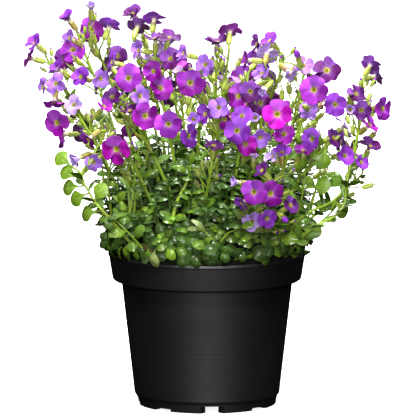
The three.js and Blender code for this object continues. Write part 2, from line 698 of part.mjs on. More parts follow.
// The pot: rim band, tapering wall and foot ring, with slots and drain holes cut out
function potSolid() {
  const bandFoot = POT_HEIGHT - BAND_HEIGHT;
  const ledge = bandFoot + WALL;
  const shell = turned([
    [0, FOOT_HEIGHT], [FOOT_RADIUS - FOOT_RING, FOOT_HEIGHT], [FOOT_RADIUS - FOOT_RING, 0],
    [FOOT_RADIUS, 0], [FOOT_RADIUS + FOOT_FLARE, FOOT_HEIGHT],
    [WALL_FOOT_RADIUS, FOOT_HEIGHT + FOOT_STEP],
    [SHOULDER_RADIUS, bandFoot], [BAND_FOOT_RADIUS, bandFoot],
    [RIM_RADIUS, POT_HEIGHT], [RIM_RADIUS - WALL, POT_HEIGHT],
    [BAND_FOOT_RADIUS - WALL, ledge], [SHOULDER_RADIUS - WALL, ledge],
    [WALL_FOOT_RADIUS - WALL, FOOT_HEIGHT + FLOOR], [0, FOOT_HEIGHT + FLOOR],
  ], POT_SIDES);
  const cuts = [];
  for (let i = 0; i < DRAINS; i += 1) {
    const angle = (i / DRAINS) * 2 * Math.PI - Math.PI / 2 + radians(SLOT_TURN);
    const [width, height] = SLOTS[i % SLOTS.length];
    const slot = new THREE.BoxGeometry(3 * FOOT_RING, width, 2 * height)
      .translate(FOOT_RADIUS, 0, 0).rotateZ(angle);
    const drain = new THREE.CylinderGeometry(DRAIN_RADIUS, DRAIN_RADIUS, 4 * FLOOR, DRAIN_SIDES)
      .rotateX(Math.PI / 2).translate(DRAIN_CIRCLE, 0, FOOT_HEIGHT).rotateZ(angle);
    cuts.push(solidFromGeometry(slot), solidFromGeometry(drain));
  }
  return shell.subtract(unite(cuts));
}

function soilSolid() {
  const onLedge = POT_HEIGHT - BAND_HEIGHT + WALL + SEAT;
  const inset = WALL + SEAT;
  const low = FOOT_HEIGHT + FLOOR + SEAT;
  const pit = SOIL_TOP - ROOTSTOCK_DEPTH - SEAT;
  return turned([
    [0, low], [WALL_FOOT_RADIUS - inset - SEAT, low], [SHOULDER_RADIUS - inset, onLedge],
    [BAND_FOOT_RADIUS - inset, onLedge], [BAND_FOOT_RADIUS - inset + SOIL_FLARE, SOIL_TOP],
    [ROOTSTOCK_RADIUS + SEAT, SOIL_TOP], [ROOTSTOCK_RADIUS * ROOTSTOCK_TAPER + SEAT, pit], [0, pit],
  ], SOIL_SIDES);
}

function roundAxis(radius, height, angle) {
  return new Vector3(Math.cos(angle) * radius, Math.sin(angle) * radius, height);
}

// Corners of one ring round the vertical axis, each with its angle
function levelRing(count, turn, radiusAndHeight) {
  return Array.from({ length: count }, (_, k) => {
    const angle = turn + (k / count) * 2 * Math.PI;
    return { angle, point: roundAxis(...radiusAndHeight(k), angle) };
  });
}

// Triangles between two rings of any counts, advancing along the one that lags behind
function zip(low, high, lowStart, highStart) {
  const triangles = [];
  const start = high[0].angle - low[0].angle;
  let i = 0;
  let k = 0;
  while (i < low.length || k < high.length) {
    const lowShare = (i + 0.5) / low.length;
    const highShare = (k + 0.5) / high.length + start / (2 * Math.PI);
    const a = lowStart + (i % low.length);
    const b = highStart + (k % high.length);
    if (k >= high.length || (i < low.length && lowShare < highShare)) {
      triangles.push([a, lowStart + ((i + 1) % low.length), b]);
      i += 1;
    } else {
      triangles.push([a, highStart + ((k + 1) % high.length), b]);
      k += 1;
    }
  }
  return triangles;
}

// The cushion's rings from the foot of its rootstock to its top: each row of leaves springs from
// a ring of hollows and ends in a ring of tips with clefts between them
function cushionRings() {
  const ring = (count, radius, height) => levelRing(count, 0, () => [radius, height]);
  const rings = [
    ring(ROOT_SIDES, ROOTSTOCK_RADIUS * ROOTSTOCK_TAPER, SOIL_TOP - ROOTSTOCK_DEPTH),
    ring(ROOT_SIDES, ROOTSTOCK_RADIUS, SOIL_TOP + SEAT),
    ...CUSHION_FOOT.map(([radius, height]) => ring(ROOT_SIDES * 2, radius, height)),
  ];
  CUSHION_ROWS.forEach(([tipRadius, tipHeight, radius, height, leaves], row) => {
    const turn = (row % 2) * Math.PI / leaves;
    rings.push(levelRing(leaves, turn, () => [radius, height]));
    rings.push(levelRing(2 * leaves, turn, (k) => {
      const share = k % 2 === 0 ? CLEFT_SHARE : 1;
      const seed = row * 61 + k;
      return [
        radius + (tipRadius - radius) * share + TIP_VARIETY * draw(seed) * share,
        height + (tipHeight - height) * share + TIP_VARIETY * TIP_LIFT * draw(seed + 700) * share,
      ];
    }));
  });
  return rings;
}

function cushionCore() {
  const rings = cushionRings();
  const corners = rings.flat().map(({ point }) => point);
  const triangles = [];
  let start = 0;
  rings.slice(0, -1).forEach((ring, i) => {
    triangles.push(...zip(ring, rings[i + 1], start, start + ring.length));
    start += ring.length;
  });
  const bottom = corners.push(new Vector3(0, 0, SOIL_TOP - ROOTSTOCK_DEPTH)) - 1;
  const top = corners.push(new Vector3(0, 0, CUSHION_TOP)) - 1;
  rings[0].forEach((_, k) => triangles.push([bottom, (k + 1) % ROOT_SIDES, k]));
  const last = rings.at(-1).length;
  rings.at(-1).forEach((_, k) => triangles.push([top, start + k, start + ((k + 1) % last)]));
  return solid(corners, triangles);
}

// The cushion: rows of leaves, and larger ones that stand out of it
function cushionSolid() {
  const solids = [cushionCore()];
  for (let i = 0; i < STANDING_LEAVES; i += 1) {
    const share = (i + 0.5) / STANDING_LEAVES;
    const angle = i * GOLDEN_ANGLE;
    const slope = share * Math.PI / 2;
    const out = roundAxis(1, 0, angle + STANDING_LEAF_TURN * draw(i * 17));
    const base = roundAxis(
      DOME_RADIUS * Math.cos(slope) + DOME_CROWN, DOME_FOOT + DOME_RISE * Math.sin(slope), angle);
    const tip = base.clone().addScaledVector(out, STANDING_LEAF_LENGTH * (1 - 0.4 * share))
      .addScaledVector(UP, STANDING_LEAF_LENGTH * (0.25 + 0.6 * share));
    solids.push(leaf(base, tip, STANDING_LEAF_WIDTH, STANDING_LEAF_LIFT, UP, BROAD_BLADE));
  }
  return unite(solids);
}

const group = new THREE.Group();

function addNode(name, body, colour, roughness) {
  const geometry = mergeVertices(new THREE.BufferGeometry().setFromPoints(body.corners), SAME_PLACE);
  geometry.computeVertexNormals();
  const material = new THREE.MeshStandardMaterial({ color: colour, roughness, metalness: 0 });
  const mesh = new THREE.Mesh(geometry, material);
  mesh.name = name;
  group.add(mesh);
}

function layOut() {
  const racemes = [...RACEMES.map(frontRaceme), ...BACK_RACEMES.map(backRaceme)];
  const blooms = racemes.flatMap((raceme) => raceme.blooms);
  standClear(blooms);
  blooms.forEach(fixBloom);
  return racemes.map(withStem);
}

const racemes = layOut();
const sprays = racemes.map((raceme) => unite([...leafSolids(raceme), ...raceme.blooms.map(flower)]));
const space = unite(racemes.flatMap(spaceFor));

addNode('pot', bodiesOf(potSolid())[0], POT_COLOUR, 0.45);
addNode('soil', bodiesOf(soilSolid())[0], SOIL_COLOUR, 0.95);
const cushion = cushionSolid().subtract(space);
addNode('leaf_cushion', bodiesOf(cushion)[0], LEAF_COLOUR, 0.5);
bodiesOf(unite(sprays)).forEach((body, i) => {
  addNode(`spray_${String(i + 1).padStart(2, '0')}`, body, TINTS.magenta, 0.6);
});

export default group;
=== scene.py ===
# Aubrieta in bloom in a black nursery pot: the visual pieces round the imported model.
# Sizes are millimetres until a mesh is made, angles are degrees, +Z is up, and the viewer
# stands at -Y.
import math

import bpy
import numpy as np
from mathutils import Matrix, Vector


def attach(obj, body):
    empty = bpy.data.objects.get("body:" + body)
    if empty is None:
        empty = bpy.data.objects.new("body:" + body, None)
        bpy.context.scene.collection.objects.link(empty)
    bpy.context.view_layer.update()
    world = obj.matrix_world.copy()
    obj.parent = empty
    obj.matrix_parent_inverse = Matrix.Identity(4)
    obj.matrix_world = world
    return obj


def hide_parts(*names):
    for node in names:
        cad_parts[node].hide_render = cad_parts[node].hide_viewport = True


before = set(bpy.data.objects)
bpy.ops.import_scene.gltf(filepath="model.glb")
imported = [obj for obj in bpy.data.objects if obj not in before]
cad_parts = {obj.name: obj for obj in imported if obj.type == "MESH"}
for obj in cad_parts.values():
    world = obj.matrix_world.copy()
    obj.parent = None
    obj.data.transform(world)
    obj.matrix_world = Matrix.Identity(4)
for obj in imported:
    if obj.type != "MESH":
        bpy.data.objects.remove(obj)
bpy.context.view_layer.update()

MM = 0.001
UP = np.array([0.0, 0.0, 1.0])
TO_VIEWER = np.array([0.0, -1.0, 0.0])
GOLDEN_ANGLE = math.pi * (3 - math.sqrt(5))
SHARP_ANGLE = 50
# Draws for what only the looks have; what the model has too is drawn by seed
chance = np.random.default_rng(17)
between = chance.uniform

# Pot, as in the model
POT_HEIGHT = 93
RIM_RADIUS = 60
BAND_HEIGHT = 16.6
BAND_FOOT_RADIUS = 57.2
SHOULDER_RADIUS = 52
WALL_FOOT_RADIUS = 44
FOOT_RADIUS = 41.8
FOOT_FLARE = 1
FOOT_HEIGHT = 5
FOOT_STEP = 2
FOOT_RING = 5
WALL = 1.3
FLOOR = 1.6
DRAINS = 8
# The foot's slots are high and low in turn: (width, height, how far their mouth widens)
SLOTS = [(8, 4.4, 4.2), (12, 1.6, 0.6)]
SLOT_TURN = 4.5
SLOT_STEPS = 7
SLOT_FLARE_REACH = 5.0
DRAIN_RADIUS = 4.5
DRAIN_CIRCLE = 29
DRAIN_SIDES = 28
POT_SIDES = 160
POT_SHARP_ANGLE = 32

# Soil: its wall as (radius, height), its lumpy top and the crumbs on it
SOIL_TOP = 84
SOIL_WALL = [(42.4, 7.2), (50.3, 78), (55.4, 78.1)]
SOIL_MIDDLE_RADIUS = 0.6
SOIL_RADIUS = 56.2
SOIL_SINK = 0.6
SOIL_RINGS = 30
SOIL_SIDES = 96
CRUMBS = 420
CRUMB_REACH = 55
CRUMB_SIZES = (0.6, 1.7)
DARK_CRUMBS = 0.94
WHITE_CRUMB = 9

# Flowers
TUBE_LENGTH = 3.8
CALYX_LENGTH = 5.5
CLAW = 2.2
CLAW_LEAN = 8
CLAW_WIDTH = 0.3
TUBE_RADIUS = 0.75
PETALS = 4
PETAL_GRID = (9, 9)
PETAL_STEPS = 48
PETAL_THICKNESS = 0.22
PETAL_LENGTH = 8.5
PETAL_INSET = 1.15
PETAL_NOTCH = 0.08
PETAL_TILT = 1.1
PETAL_LIFTS = (0.2, -0.1)
PETAL_OPEN_MOST = 96
ODD_PETALS = 0.15
ODD_CURLS = (-32, 36)
BROAD_PETAL = 0.575
SLIM_PETAL = 0.49
SLIM_TINTS = ("pale", "lavender")
CLOSED_BELOW = 20
THROAT = [
    (1.25, -4.6), (1.2, -2.4), (1.4, -1.0), (1.7, -0.35), (1.5, -0.3), (1.0, -1.4), (0.9, -4.4)]
THROAT_SIDES = 10
ANTHERS = 6
ANTHER_REACH = (0.75, 0.95)
ANTHER_SIZE = (0.36, 0.3, 0.62)
STIGMA_SIZE = (0.38, 0.38, 0.5)
STIGMA_SINK = 0.2
FLUSHED_CALYCES = 0.2
CALYX_FLUSH = (0.95, 0.6, 0.8)
CALYX_SIDES = 16
CALYX_SWELL = 0.08
# The calyx as (radius, height, how far its four tips stand up there)
CALYX_OUTLINE = [
    (0.5, -9.7, 0), (1.2, -9.2, 0), (1.62, -8.2, 0), (1.76, -6.6, 0), (1.68, -4.8, 0.2),
    (1.84, -4.0, 1.1), (1.7, -3.9, 1.1), (1.45, -5.2, 0.2), (1.3, -8.2, 0), (0.45, -9.3, 0)]
CLEAR_OF_FLOWER = 2.7
PUSH = 1.5
PUSH_STEPS = 12
TEST_DEPTHS = (-2, -5, -8)
TEST_RINGS = ((0.3, 4), (0.62, 8), (0.95, 12))

# Stems
PEDICEL_DROP = 10
NECK_BACK = 4
NECK_DROP = 5
STEM_SHARES = (0.33, 0.66)
STEM_BOW = 1.7
STEM_STEPS = 4
STEM_BACK = 8
STEM_PATH_STEPS = 30
VIA_PATH_STEPS = 8
FORK_SHARES = 4
ROOT_PULL = 0.52
ROOT_REACH = 47
CROWN_HEIGHT = 89
STEM_FOOT = 1.6
SLIM_STEM_FOOT = 1.0
STEM_TIP = 0.6
STEM_END = 0.7
STEM_SIDES = 9
STEM_RIDGE = 0.05
WAVER = 0.7
WAVER_KNOTS = 7
STALK_FOOT = 0.8
STALK_RADII = (0.6, 0.42)
STALK_END = 0.62
STALK_STEPS = 12
STALK_SIDES = 7
FINE_SIDES = 6
SPENT = 8
SPENT_BUDS = 3
SPENT_STEP = 3.6
SPENT_STEPS = 6

# Leaves on the stems
STEM_LEAF_PLACE = 3
STEM_LEAF_LENGTH = 12
STEM_LEAF_WIDTH = 6.5
STEM_LEAF_TURN = 0.4
STEM_LEAF_RISE = 0.5
LARGE_LEAF_WIDTH = 8.5
LARGE_LEAF_DROP = 6
LARGE_LEAF_LENGTH = 12.5
LARGE_LEAF_STEPS = 5
LEAF_GRID = (7, 6)
SMALL_LEAF_GRID = (5, 4)
LEAF_THICKNESS = 0.28
SMALL_LEAF_THICKNESS = 0.3
SMALL_LEAVES = 11
SMALL_LEAF_SIZES = (10, 15)
SMALL_LEAVES_FROM = 100
SLIM_STEM_LEAVES_FROM = 93
SMALL_LEAVES_TO = 205

# Leaf mat
ROSETTES = 118
ROSETTE_LEAVES = (6, 9)
ROSETTE_SIZES = (10.5, 14.5)
ROSETTE_DEPTHS = (4.5, 9)
MAT_PARTS = 3
MAT_STEPS = 120
WITHERED_EVERY = 31
CORE_RINGS = 26
CORE_SIDES = 72
CORE_FOOT_RADIUS = 44
CORE_INSIDE = 9
CORE_BELOW = 7.5
CORE_TOP_BELOW = 7
SHOOTS = 130
SHOOTS_FROM = 0.28
SHOOT_LEAVES = 7
SHOOT_DEPTH = 7
SHOOT_LENGTHS = (12, 26)
FRESH_LEAVES = 8
FRONT_FOOT = 40
FRONT_FOOT_INSIDE = 9
LEAFY_STEPS = 24
PALE_LEAF_BELOW = 4
LOOSE_STEPS = 12

# The view from the front looks down by about 8.6 degrees
VIEW_TILT = 8.6
VIEW_SLOPE = math.tan(math.radians(VIEW_TILT))
LAYER_STEP = 22
FRONT_DEPTH = 85
FRONT_WIDTH = 122
FRONT_SHOULDER = 125
FRONT_CROWN = 135
FRONT_EDGE = 0.06
ROLL = 45
ROLL_VARIETY = 30
BACK_SHIFT = 1.5
BACK_LIFT = 2
BACK_TURN = 12
BACK_NOD = 10

# Camera, as far off as a long lens stands; it sees as far as so many metres
CAMERA_DISTANCE = 6000
CAMERA_SIGHT = 50
PICTURE_WIDTH = 251.5
AIM = (0.3, 0, 119.6)
SENSOR = 36
# Lamps round the pot, in metres: (name, place, (width, height), power)
LAMPS = [
    ("key_light", (0, -1.5, 0.45), (0.5, 0.35), 14),
    ("front_light", (-0.05, -0.85, 1.2), (0.4, 0.3), 12),
    ("top_light", (0.05, -0.05, 1.5), (0.4, 0.4), 28),
    ("left_light", (-1.2, 0.4, 1.3), (0.4, 0.4), 2.5),
    ("right_light", (1.2, 0.4, 1.3), (0.4, 0.4), 2.5),
    ("back_light", (-0.1, 1.2, 1.2), (0.5, 0.5), 17),
    ("rear_light", (0, 1.5, 0.45), (0.5, 0.35), 8),
]
LAMP_AIM = (0, 0, 0.13)
# The studio's ground is in metres too
FLOOR_EDGE = 3.0
FLOOR_DROP = 0.0002
WORLD_STRENGTH = 0.03
VIEW_GAMMA = 0.88
VIEW_EXPOSURE = 0.18

# Material slots of the sprays, and of the mat and its shoots
PETAL, CLAWS, ANTHER, CALYX, STEM, LEAF = range(6)
MAT_LEAF, MAT_CORE, MAT_STEM = range(3)

# Petal colours as (red, green, blue) from 0 to 255
TINTS = {
    "pale": (202, 172, 240),
    "lavender": (176, 126, 222),
    "violet": (144, 56, 186),
    "orchid": (170, 50, 190),
    "magenta": (152, 12, 158),
    "fuchsia": (196, 6, 184),
    # Deep purple is a darker copy of magenta; flowers that stand in shadow get it, so it is partly
    # painted shade
    "deep": (90, 4, 92),
}
# Colours of the green parts
GREENS = {
    "stem": (176, 200, 70), "stalk": (168, 190, 64), "calyx": (190, 202, 76), "bud": (158, 178, 52),
    "bright": (148, 184, 24), "middle": (106, 146, 16), "dark": (52, 86, 8), "mat": (52, 88, 15),
    "young": (150, 182, 26), "pale": (200, 212, 138),
}

# Racemes: how many layers further back, where the stem stands (root) or passes (via), large
# leaves' tips, and the flowers, the leading one first:
# (across, seen height, span, turn, nod, opening, tint, further back by)
RACEMES = [
    dict(layer=0.8, blooms=[
        (-104, 220, 14, -65, 40, 62, "violet"), (-107, 211, 14, -88, 15, 80, "magenta")]),
    dict(layer=0.6, blooms=[
        (-84, 235, 13, -60, 50, 50, "violet"), (-83, 223, 12, -60, 30, 55, "lavender"),
        (-81, 216, 16.5, -20, 25, 85, "orchid"), (-86, 211, 15, -10, 0, 88, "magenta", 3),
        (-90, 204, 14, -70, 35, 62, "violet")]),
    dict(layer=1, blooms=[
        (-70, 242, 9, 0, 60, 35, "pale"), (-70, 228, 16.5, -5, 5, 88, "magenta"),
        (-59, 230, 15, 150, 50, 80, "violet", 3)]),
    dict(layer=1, blooms=[
        (-57, 208, 14, -70, 20, 75, "violet"), (-54, 212, 14, -30, 10, 85, "deep", 5),
        (-64, 198, 13, 25, 10, 78, "lavender"), (-76, 199, 13, -40, 20, 70, "violet")]),
    dict(layer=2, blooms=[
        (-45, 238, 14, -50, 50, 60, "deep"), (-42, 230, 15, 160, 40, 80, "deep"),
        (-32, 235, 15, 170, 55, 80, "violet")]),
    dict(layer=1, blooms=[
        (-31, 222, 15, 0, 75, 80, "deep"), (-23, 223, 15, 30, 70, 80, "deep"),
        (-41, 215, 14, -60, 10, 75, "lavender"), (-35, 211, 8, -60, 20, 35, "pale")]),
    dict(layer=0.7, blooms=[
        (-14, 213, 12, -65, 20, 65, "lavender"), (-22, 210, 14, -20, 30, 80, "deep", 4),
        (-17, 202, 9, -40, 50, 45, "pale")]),
    dict(layer=0.35, root=(-24, -21), blooms=[
        (-47, 198, 17.6, -5, 10, 85, "orchid"), (-32, 202, 14, -35, 10, 80, "magenta"),
        (-28, 192, 16.5, 25, 30, 82, "magenta")]),
    dict(layer=0, root=(3, -19), blooms=[
        (-1, 206, 14, -30, 10, 85, "lavender", 3), (-10, 195, 18, 0, 5, 88, "magenta")]),
    dict(layer=0, root=(5, -30), blooms=[
        (7, 180, 14, 0, 10, 85, "lavender", 4), (-1, 176, 14, -45, 5, 80, "violet"),
        (-8, 173, 10, 0, 20, 45, "lavender", 6)]),
    dict(layer=0.9, blooms=[
        (4, 157, 13, 20, 70, 75, "deep"), (-11, 163, 15, 45, 0, 85, "violet")]),
    dict(layer=0, root=(-13, -31), blooms=[
        (-40, 187, 15, 40, 10, 82, "lavender", 3), (-46, 178, 13, -20, 70, 75, "deep", 5),
        (-37, 175, 17.5, 20, 5, 88, "magenta"), (-23, 170, 17.5, 0, 5, 86, "orchid")]),
    dict(layer=1, blooms=[
        (-62, 181, 12, 45, 45, 58, "magenta"), (-57, 187, 12, -20, 30, 80, "deep", 3)]),
    dict(layer=1.4, blooms=[
        (14, 227, 15.5, 170, 50, 80, "magenta"), (6, 220, 16.5, 0, 75, 82, "deep")]),
    dict(layer=1, blooms=[
        (38, 221, 14, -50, 45, 65, "violet", 4), (30, 219, 14, -75, 10, 78, "deep", 3),
        (36, 213, 15, 172, 30, 85, "pale"), (24, 209, 14, -85, 5, 80, "magenta"),
        (33, 201, 14.5, -45, 40, 78, "lavender")]),
    dict(layer=0.7, blooms=[
        (54, 213, 7, -30, 60, 12, "violet"), (58, 206, 13, 0, 35, 80, "lavender"),
        (50, 201, 11, 50, -30, 65, "pale"), (72, 203, 19, 0, 40, 85, "deep")]),
    dict(layer=0, blooms=[
        (64, 191, 18.5, 0, 5, 88, "orchid"), (77, 182, 15, 5, 5, 88, "violet"),
        (61, 179, 14, 160, -20, 80, "lavender", 5)]),
    dict(layer=1.5, via=[(62, 112), (79, 124), (88, 145)], blooms=[
        (99, 207, 14, 150, 40, 75, "violet"), (102, 200, 14, 120, 10, 80, "deep"),
        (90, 189, 14, 45, 45, 80, "deep")]),
    dict(layer=0.4, via=[(62, 106), (81, 119), (85, 138)], blooms=[
        (93, 179, 13, 0, 10, 85, "deep", 8), (86, 179, 8, 0, 10, 35, "pale"),
        (106, 180, 15.5, 48, 5, 85, "orchid"), (98, 170, 14, 65, 40, 78, "magenta")]),
    dict(layer=0.9, root=(38, -4), via=[(57, 114), (76, 124), (87, 134)], blooms=[
        (98, 157, 16, 50, 65, 80, "deep"), (93, 147, 11, 40, 30, 66, "violet")],
        leaves=[(84, 114), (69, 104), (60, 98), (78, 121)]),
    dict(layer=0.5, blooms=[
        (63, 161, 15, -35, 5, 82, "violet"), (58, 154, 13.5, 0, 70, 78, "magenta"),
        (76, 162, 13, 50, 20, 78, "deep", 4), (83, 151, 13, 30, 20, 78, "violet", 6)],
        leaves=[(57, 147), (74, 133), (52, 127), (69, 143)]),
    dict(layer=0.6, root=(10, -12), blooms=[
        (26, 190, 14, 0, 10, 85, "deep", 5), (19, 187, 16.5, -30, 5, 86, "magenta"),
        (32, 183, 15, 0, 0, 85, "deep", 6), (34, 190, 9, -40, -30, 30, "pale", -6)]),
    dict(layer=0, root=(13, -16), blooms=[
        (42, 176, 19, 0, 10, 88, "fuchsia"), (46, 164, 14, 0, 20, 85, "magenta", 6)]),
    dict(layer=0.25, blooms=[
        (21, 175, 14, 0, 35, 80, "violet", 7), (18, 166, 16.5, 0, 0, 88, "violet"),
        (11, 173, 14, -45, 0, 80, "magenta", 6), (23, 158, 15, -5, -10, 85, "fuchsia", 4),
        (32, 162, 13.5, 10, -15, 80, "lavender", 2), (29, 174, 8.5, 0, 10, 40, "pale", 5)]),
    dict(layer=0.45, root=(17, -22), blooms=[
        (45, 153, 13, 0, 65, 74, "violet", 3), (39, 150, 11, -50, 40, 66, "pale"),
        (33, 142, 12, -55, 45, 74, "deep"), (28, 151, 7, 0, 60, 40, "pale")]),
    dict(layer=0, blooms=[
        (28, 129, 17, -5, 0, 88, "orchid"), (38, 128, 17, 20, 0, 86, "magenta", 2),
        (21, 122, 11, -50, -30, 70, "violet"), (17, 135, 9, -70, 10, 45, "pale")]),
    dict(layer=0.3, root=(17, -33), blooms=[
        (50, 121, 12, 40, 30, 78, "deep"), (36, 113, 13, 20, -10, 85, "violet", 2),
        (27, 111, 13.5, 0, -10, 85, "pale"), (47, 112, 6.5, 30, -20, 12, "violet")]),
    dict(layer=0, blooms=[(-54, 155, 19.5, -25, -15, 86, "fuchsia")]),
    dict(layer=0.3, blooms=[
        (-91, 195, 14.5, -35, 20, 82, "lavender"), (-99, 193, 13, -75, 20, 76, "lavender"),
        (-92, 184, 14, -20, -65, 80, "magenta", 3), (-80, 182, 13, -20, 30, 80, "pale"),
        (-90, 171, 17.5, -30, 0, 86, "magenta")]),
    dict(layer=0.4, via=[(-58, 112), (-70, 128), (-75, 140)], blooms=[
        (-71, 161, 13, -55, -30, 78, "magenta"), (-78, 149, 12, -65, -20, 56, "pale"),
        (-68, 147, 12, -10, 0, 78, "lavender")],
        leaves=[(-91, 152), (-88, 143), (-87, 131), (-82, 123), (-76, 115), (-61, 134)]),
]
# The racemes inside and on the far half: (direction, distance out, leader's height, turned up by)
BACK_RACEMES = [
    (12, 88, 166), (28, 78, 190), (42, 90, 152), (58, 62, 202), (72, 88, 170), (84, 46, 197),
    (98, 84, 186), (116, 58, 208), (122, 90, 156), (142, 80, 200), (158, 90, 172),
    (160, 24, 204, 40), (14, 17, 197, 45), (148, 50, 199, 30), (28, 46, 194, 35), (8, 62, 186, 25),
]
# Their flowers: (aside, further in, lower, span, aside turn, nod, opening)
BACK_FLOWERS = [
    (0, 3, 0, 17, 0, 30, 82), (10, 0, 10, 18, 20, 5, 86), (-10, 1, 11, 15, -25, 10, 84),
]

# The leaf mat's outline as (radius, height), from the rim to the top
MAT_OUTLINE = [
    (56, 91), (61.5, 95.5), (63.5, 102), (62, 110), (58, 118.5), (51, 127.5), (41, 136), (26, 143.5),
    (0, 147)]

# Leaves that hang over the front of the rim: (across, seen height) of the base and of the tip,
# width, colour
HANGING_LEAVES = [
    ((-31, 94.5), (-31.5, 83.2), 7.5, "pale"), ((-15.2, 90), (-15, 83), 5.6, "dark"),
    ((-6, 90), (-6.5, 82.6), 5.6, "dark"), ((-24, 95), (-20, 88), 6, "bright"),
    ((-45, 94), (-48, 86.5), 5.4, "dark"), ((-38, 93), (-39, 86), 5.6, "dark"),
    ((12, 92), (11, 86), 5.2, "dark"), ((33, 95), (36, 88), 5.6, "dark"),
    ((44, 98), (47, 91), 5.8, "dark"), ((5, 94), (3, 87.5), 5.4, "dark"),
    ((22, 93), (21, 86.5), 5.4, "dark"), ((-56, 97), (-57.5, 90), 6, "dark"),
    ((-51, 96), (-53, 88.5), 6.4, "middle"), ((-48, 97), (-49.5, 89), 5.6, "bright"),
    ((-42, 95), (-43, 87.5), 5.8, "middle"), ((-35, 95), (-35, 86.5), 5.6, "middle"),
    ((-59, 99), (-60, 93), 6, "middle"), ((54, 98), (56, 91.5), 6, "middle"),
    ((50, 97), (51, 90.5), 5.6, "dark"),
]
# Loose pale stems on the mat: (across, seen height) of their course, radius
LOOSE_STEMS = [
    ([(-14.5, 131), (-18, 136), (-20, 138)], 0.7), ([(64, 98), (62, 103), (58, 104)], 0.6),
]
# Light leafy stems at the front: their course as (across, seen height), the depth of its foot and
# top, radius, and the leaves as (share of the course, across, seen height of the tip, width)
LEAFY_STEMS = [
    ([(-50.3, 101), (-48.5, 110), (-45.5, 122), (-43.5, 138), (-41, 156)], -34, -44, 1.5, [
        (0.2, -62, 108, 5), (0.2, -56, 119, 4.5), (0.22, -41, 112, 5), (0.25, -37, 119, 4.5),
        (0.3, -52, 124, 4), (0.5, -38, 132, 4), (0.6, -52, 138, 4)]),
    ([(-44, 116), (-42.4, 128.5), (-37.6, 144.5), (-34.5, 160)], -38, -48, 0.9, [
        (0.5, -31, 143, 4), (0.7, -44, 152, 4)]),
    ([(-62, 108), (-63.5, 120), (-62.5, 134), (-64, 150), (-66, 166)], -14, -24, 1.0, [
        (0.3, -72, 120, 5), (0.5, -54, 134, 4.5), (0.7, -73, 146, 4.5)]),
    ([(-57, 108), (-58.5, 122), (-60, 136), (-57, 150), (-55, 168)], -20, -34, 0.9, [
        (0.35, -49, 123, 4.5), (0.6, -66, 140, 4.5)]),
    ([(-46, 112), (-47.3, 130), (-47, 146), (-51, 156), (-58, 161), (-65, 157), (-68, 151)],
        -36, -58, 0.75, [(0.2, -54, 124, 4.5), (0.35, -40, 138, 4), (1.0, -71, 146, 3)]),
    ([(-21, 110), (-18.5, 122), (-13, 133), (-11, 139), (-10, 146)], -52, -46, 1.3, [
        (0.05, -27, 117, 4.5), (0.05, -13, 115, 4.5), (0.8, -20, 145, 4), (0.85, -3, 144, 4),
        (1.0, -8, 153, 4)]),
    ([(50, 98), (58, 112), (64, 126), (68, 140), (69, 156)], -22, -30, 1.0, [
        (0.2, 66, 108, 8), (0.35, 50, 124, 8.5), (0.45, 76, 121, 9), (0.6, 58, 138, 8.5),
        (0.7, 80, 136, 9), (0.85, 62, 153, 7.5)]),
    ([(52, 100), (60.6, 112), (66.7, 136), (69.7, 155), (67.3, 168)], -18, -40, 0.8, [
        (0.5, 76, 141, 4), (0.65, 62, 156, 4), (0.8, 77, 165, 4)]),
    ([(54, 99), (68, 110), (79, 122), (85, 140), (84, 161)], -14, -32, 0.75, [
        (0.35, 78, 112, 5), (0.5, 90, 124, 5), (0.65, 77, 142, 4.5), (0.8, 94, 152, 4.5)]),
    ([(46, 102), (54.5, 116), (58.2, 133), (59.4, 155), (56.4, 173)], -26, -48, 0.8, [
        (0.45, 48, 139, 4.5), (0.65, 66, 153, 4), (0.8, 51, 165, 4)]),
    ([(30, 108), (33, 126), (36, 146), (33, 168), (28, 186)], -46, -50, 0.8, [
        (0.3, 40, 131, 4.5), (0.5, 28, 150, 4.5), (0.65, 43, 160, 4.5), (0.8, 25, 176, 4.5)]),
    ([(40, 96), (44, 104), (49, 112), (52, 122)], -42, -36, 0.8, [
        (0.2, 54, 100, 8), (0.4, 36, 112, 7), (0.6, 62, 112, 8), (1.0, 48, 131, 7)]),
    ([(-39, 95), (-46, 103), (-54, 111)], -52, -58, 0.8, [
        (0.1, -48, 96, 7.5), (0.35, -39, 108, 7), (0.6, -58, 104, 7), (0.8, -49, 115, 6),
        (1.0, -64, 114, 6)]),
    ([(6, 95), (4, 100), (-0.5, 104.5), (-6, 107)], -61, -64, 0.95, [
        (0.85, -12, 107, 3.5), (0.7, -8, 112, 3.5)]),
    ([(6, 96), (9.5, 100.5), (13.5, 104.5), (20, 107)], -61, -62, 0.85, [(1.0, 27, 110, 5)]),
    ([(24, 104), (28, 114), (30, 124), (33, 134)], -50, -44, 0.8, [
        (0.3, 18, 116, 5.5), (0.5, 40, 121, 5.5), (0.8, 25, 136, 5), (1.0, 37, 143, 5)]),
]
# Fresh rosettes on the front of the mat: (across, seen height, size)
FRESH = [
    (-33, 116, 9), (-27, 98, 9), (-55, 100, 8), (5, 104, 8), (20, 100, 9), (48, 104, 9),
    (-8, 120, 8)]


def linear(colour):
    """Light values of a colour that is given as 0 to 255 on a screen"""
    shares = [value / 255 for value in colour]
    return np.array([s / 12.92 if s <= 0.04045 else ((s + 0.055) / 1.055) ** 2.4 for s in shares])


GREEN = {name: linear(colour) for name, colour in GREENS.items()}
# Lilac of the painted top light on petals that face up
TOP_LIGHT_LILAC = linear((182, 124, 232))
WITHERED = linear((128, 84, 44))
# Colour of the core, a dark body of painted shade under the leaves
PAINTED_SHADE_CORE_TINT = linear((22, 30, 14))


def unit(v):
    """The direction of v, with length 1"""
    return v / np.linalg.norm(v)


def smooth(low, high, value):
    """0 at low and 1 at high, with a soft start and end"""
    share = np.clip((value - low) / (high - low), 0, 1)
    return share * share * (3 - 2 * share)


def draw(seed):
    """A draw between -1 and 1 that is the same for the same seed, as in the model"""
    wave = math.sin(seed * 12.9898 + 4.1414) * 43758.5453
    return 2 * (wave - math.floor(wave)) - 1


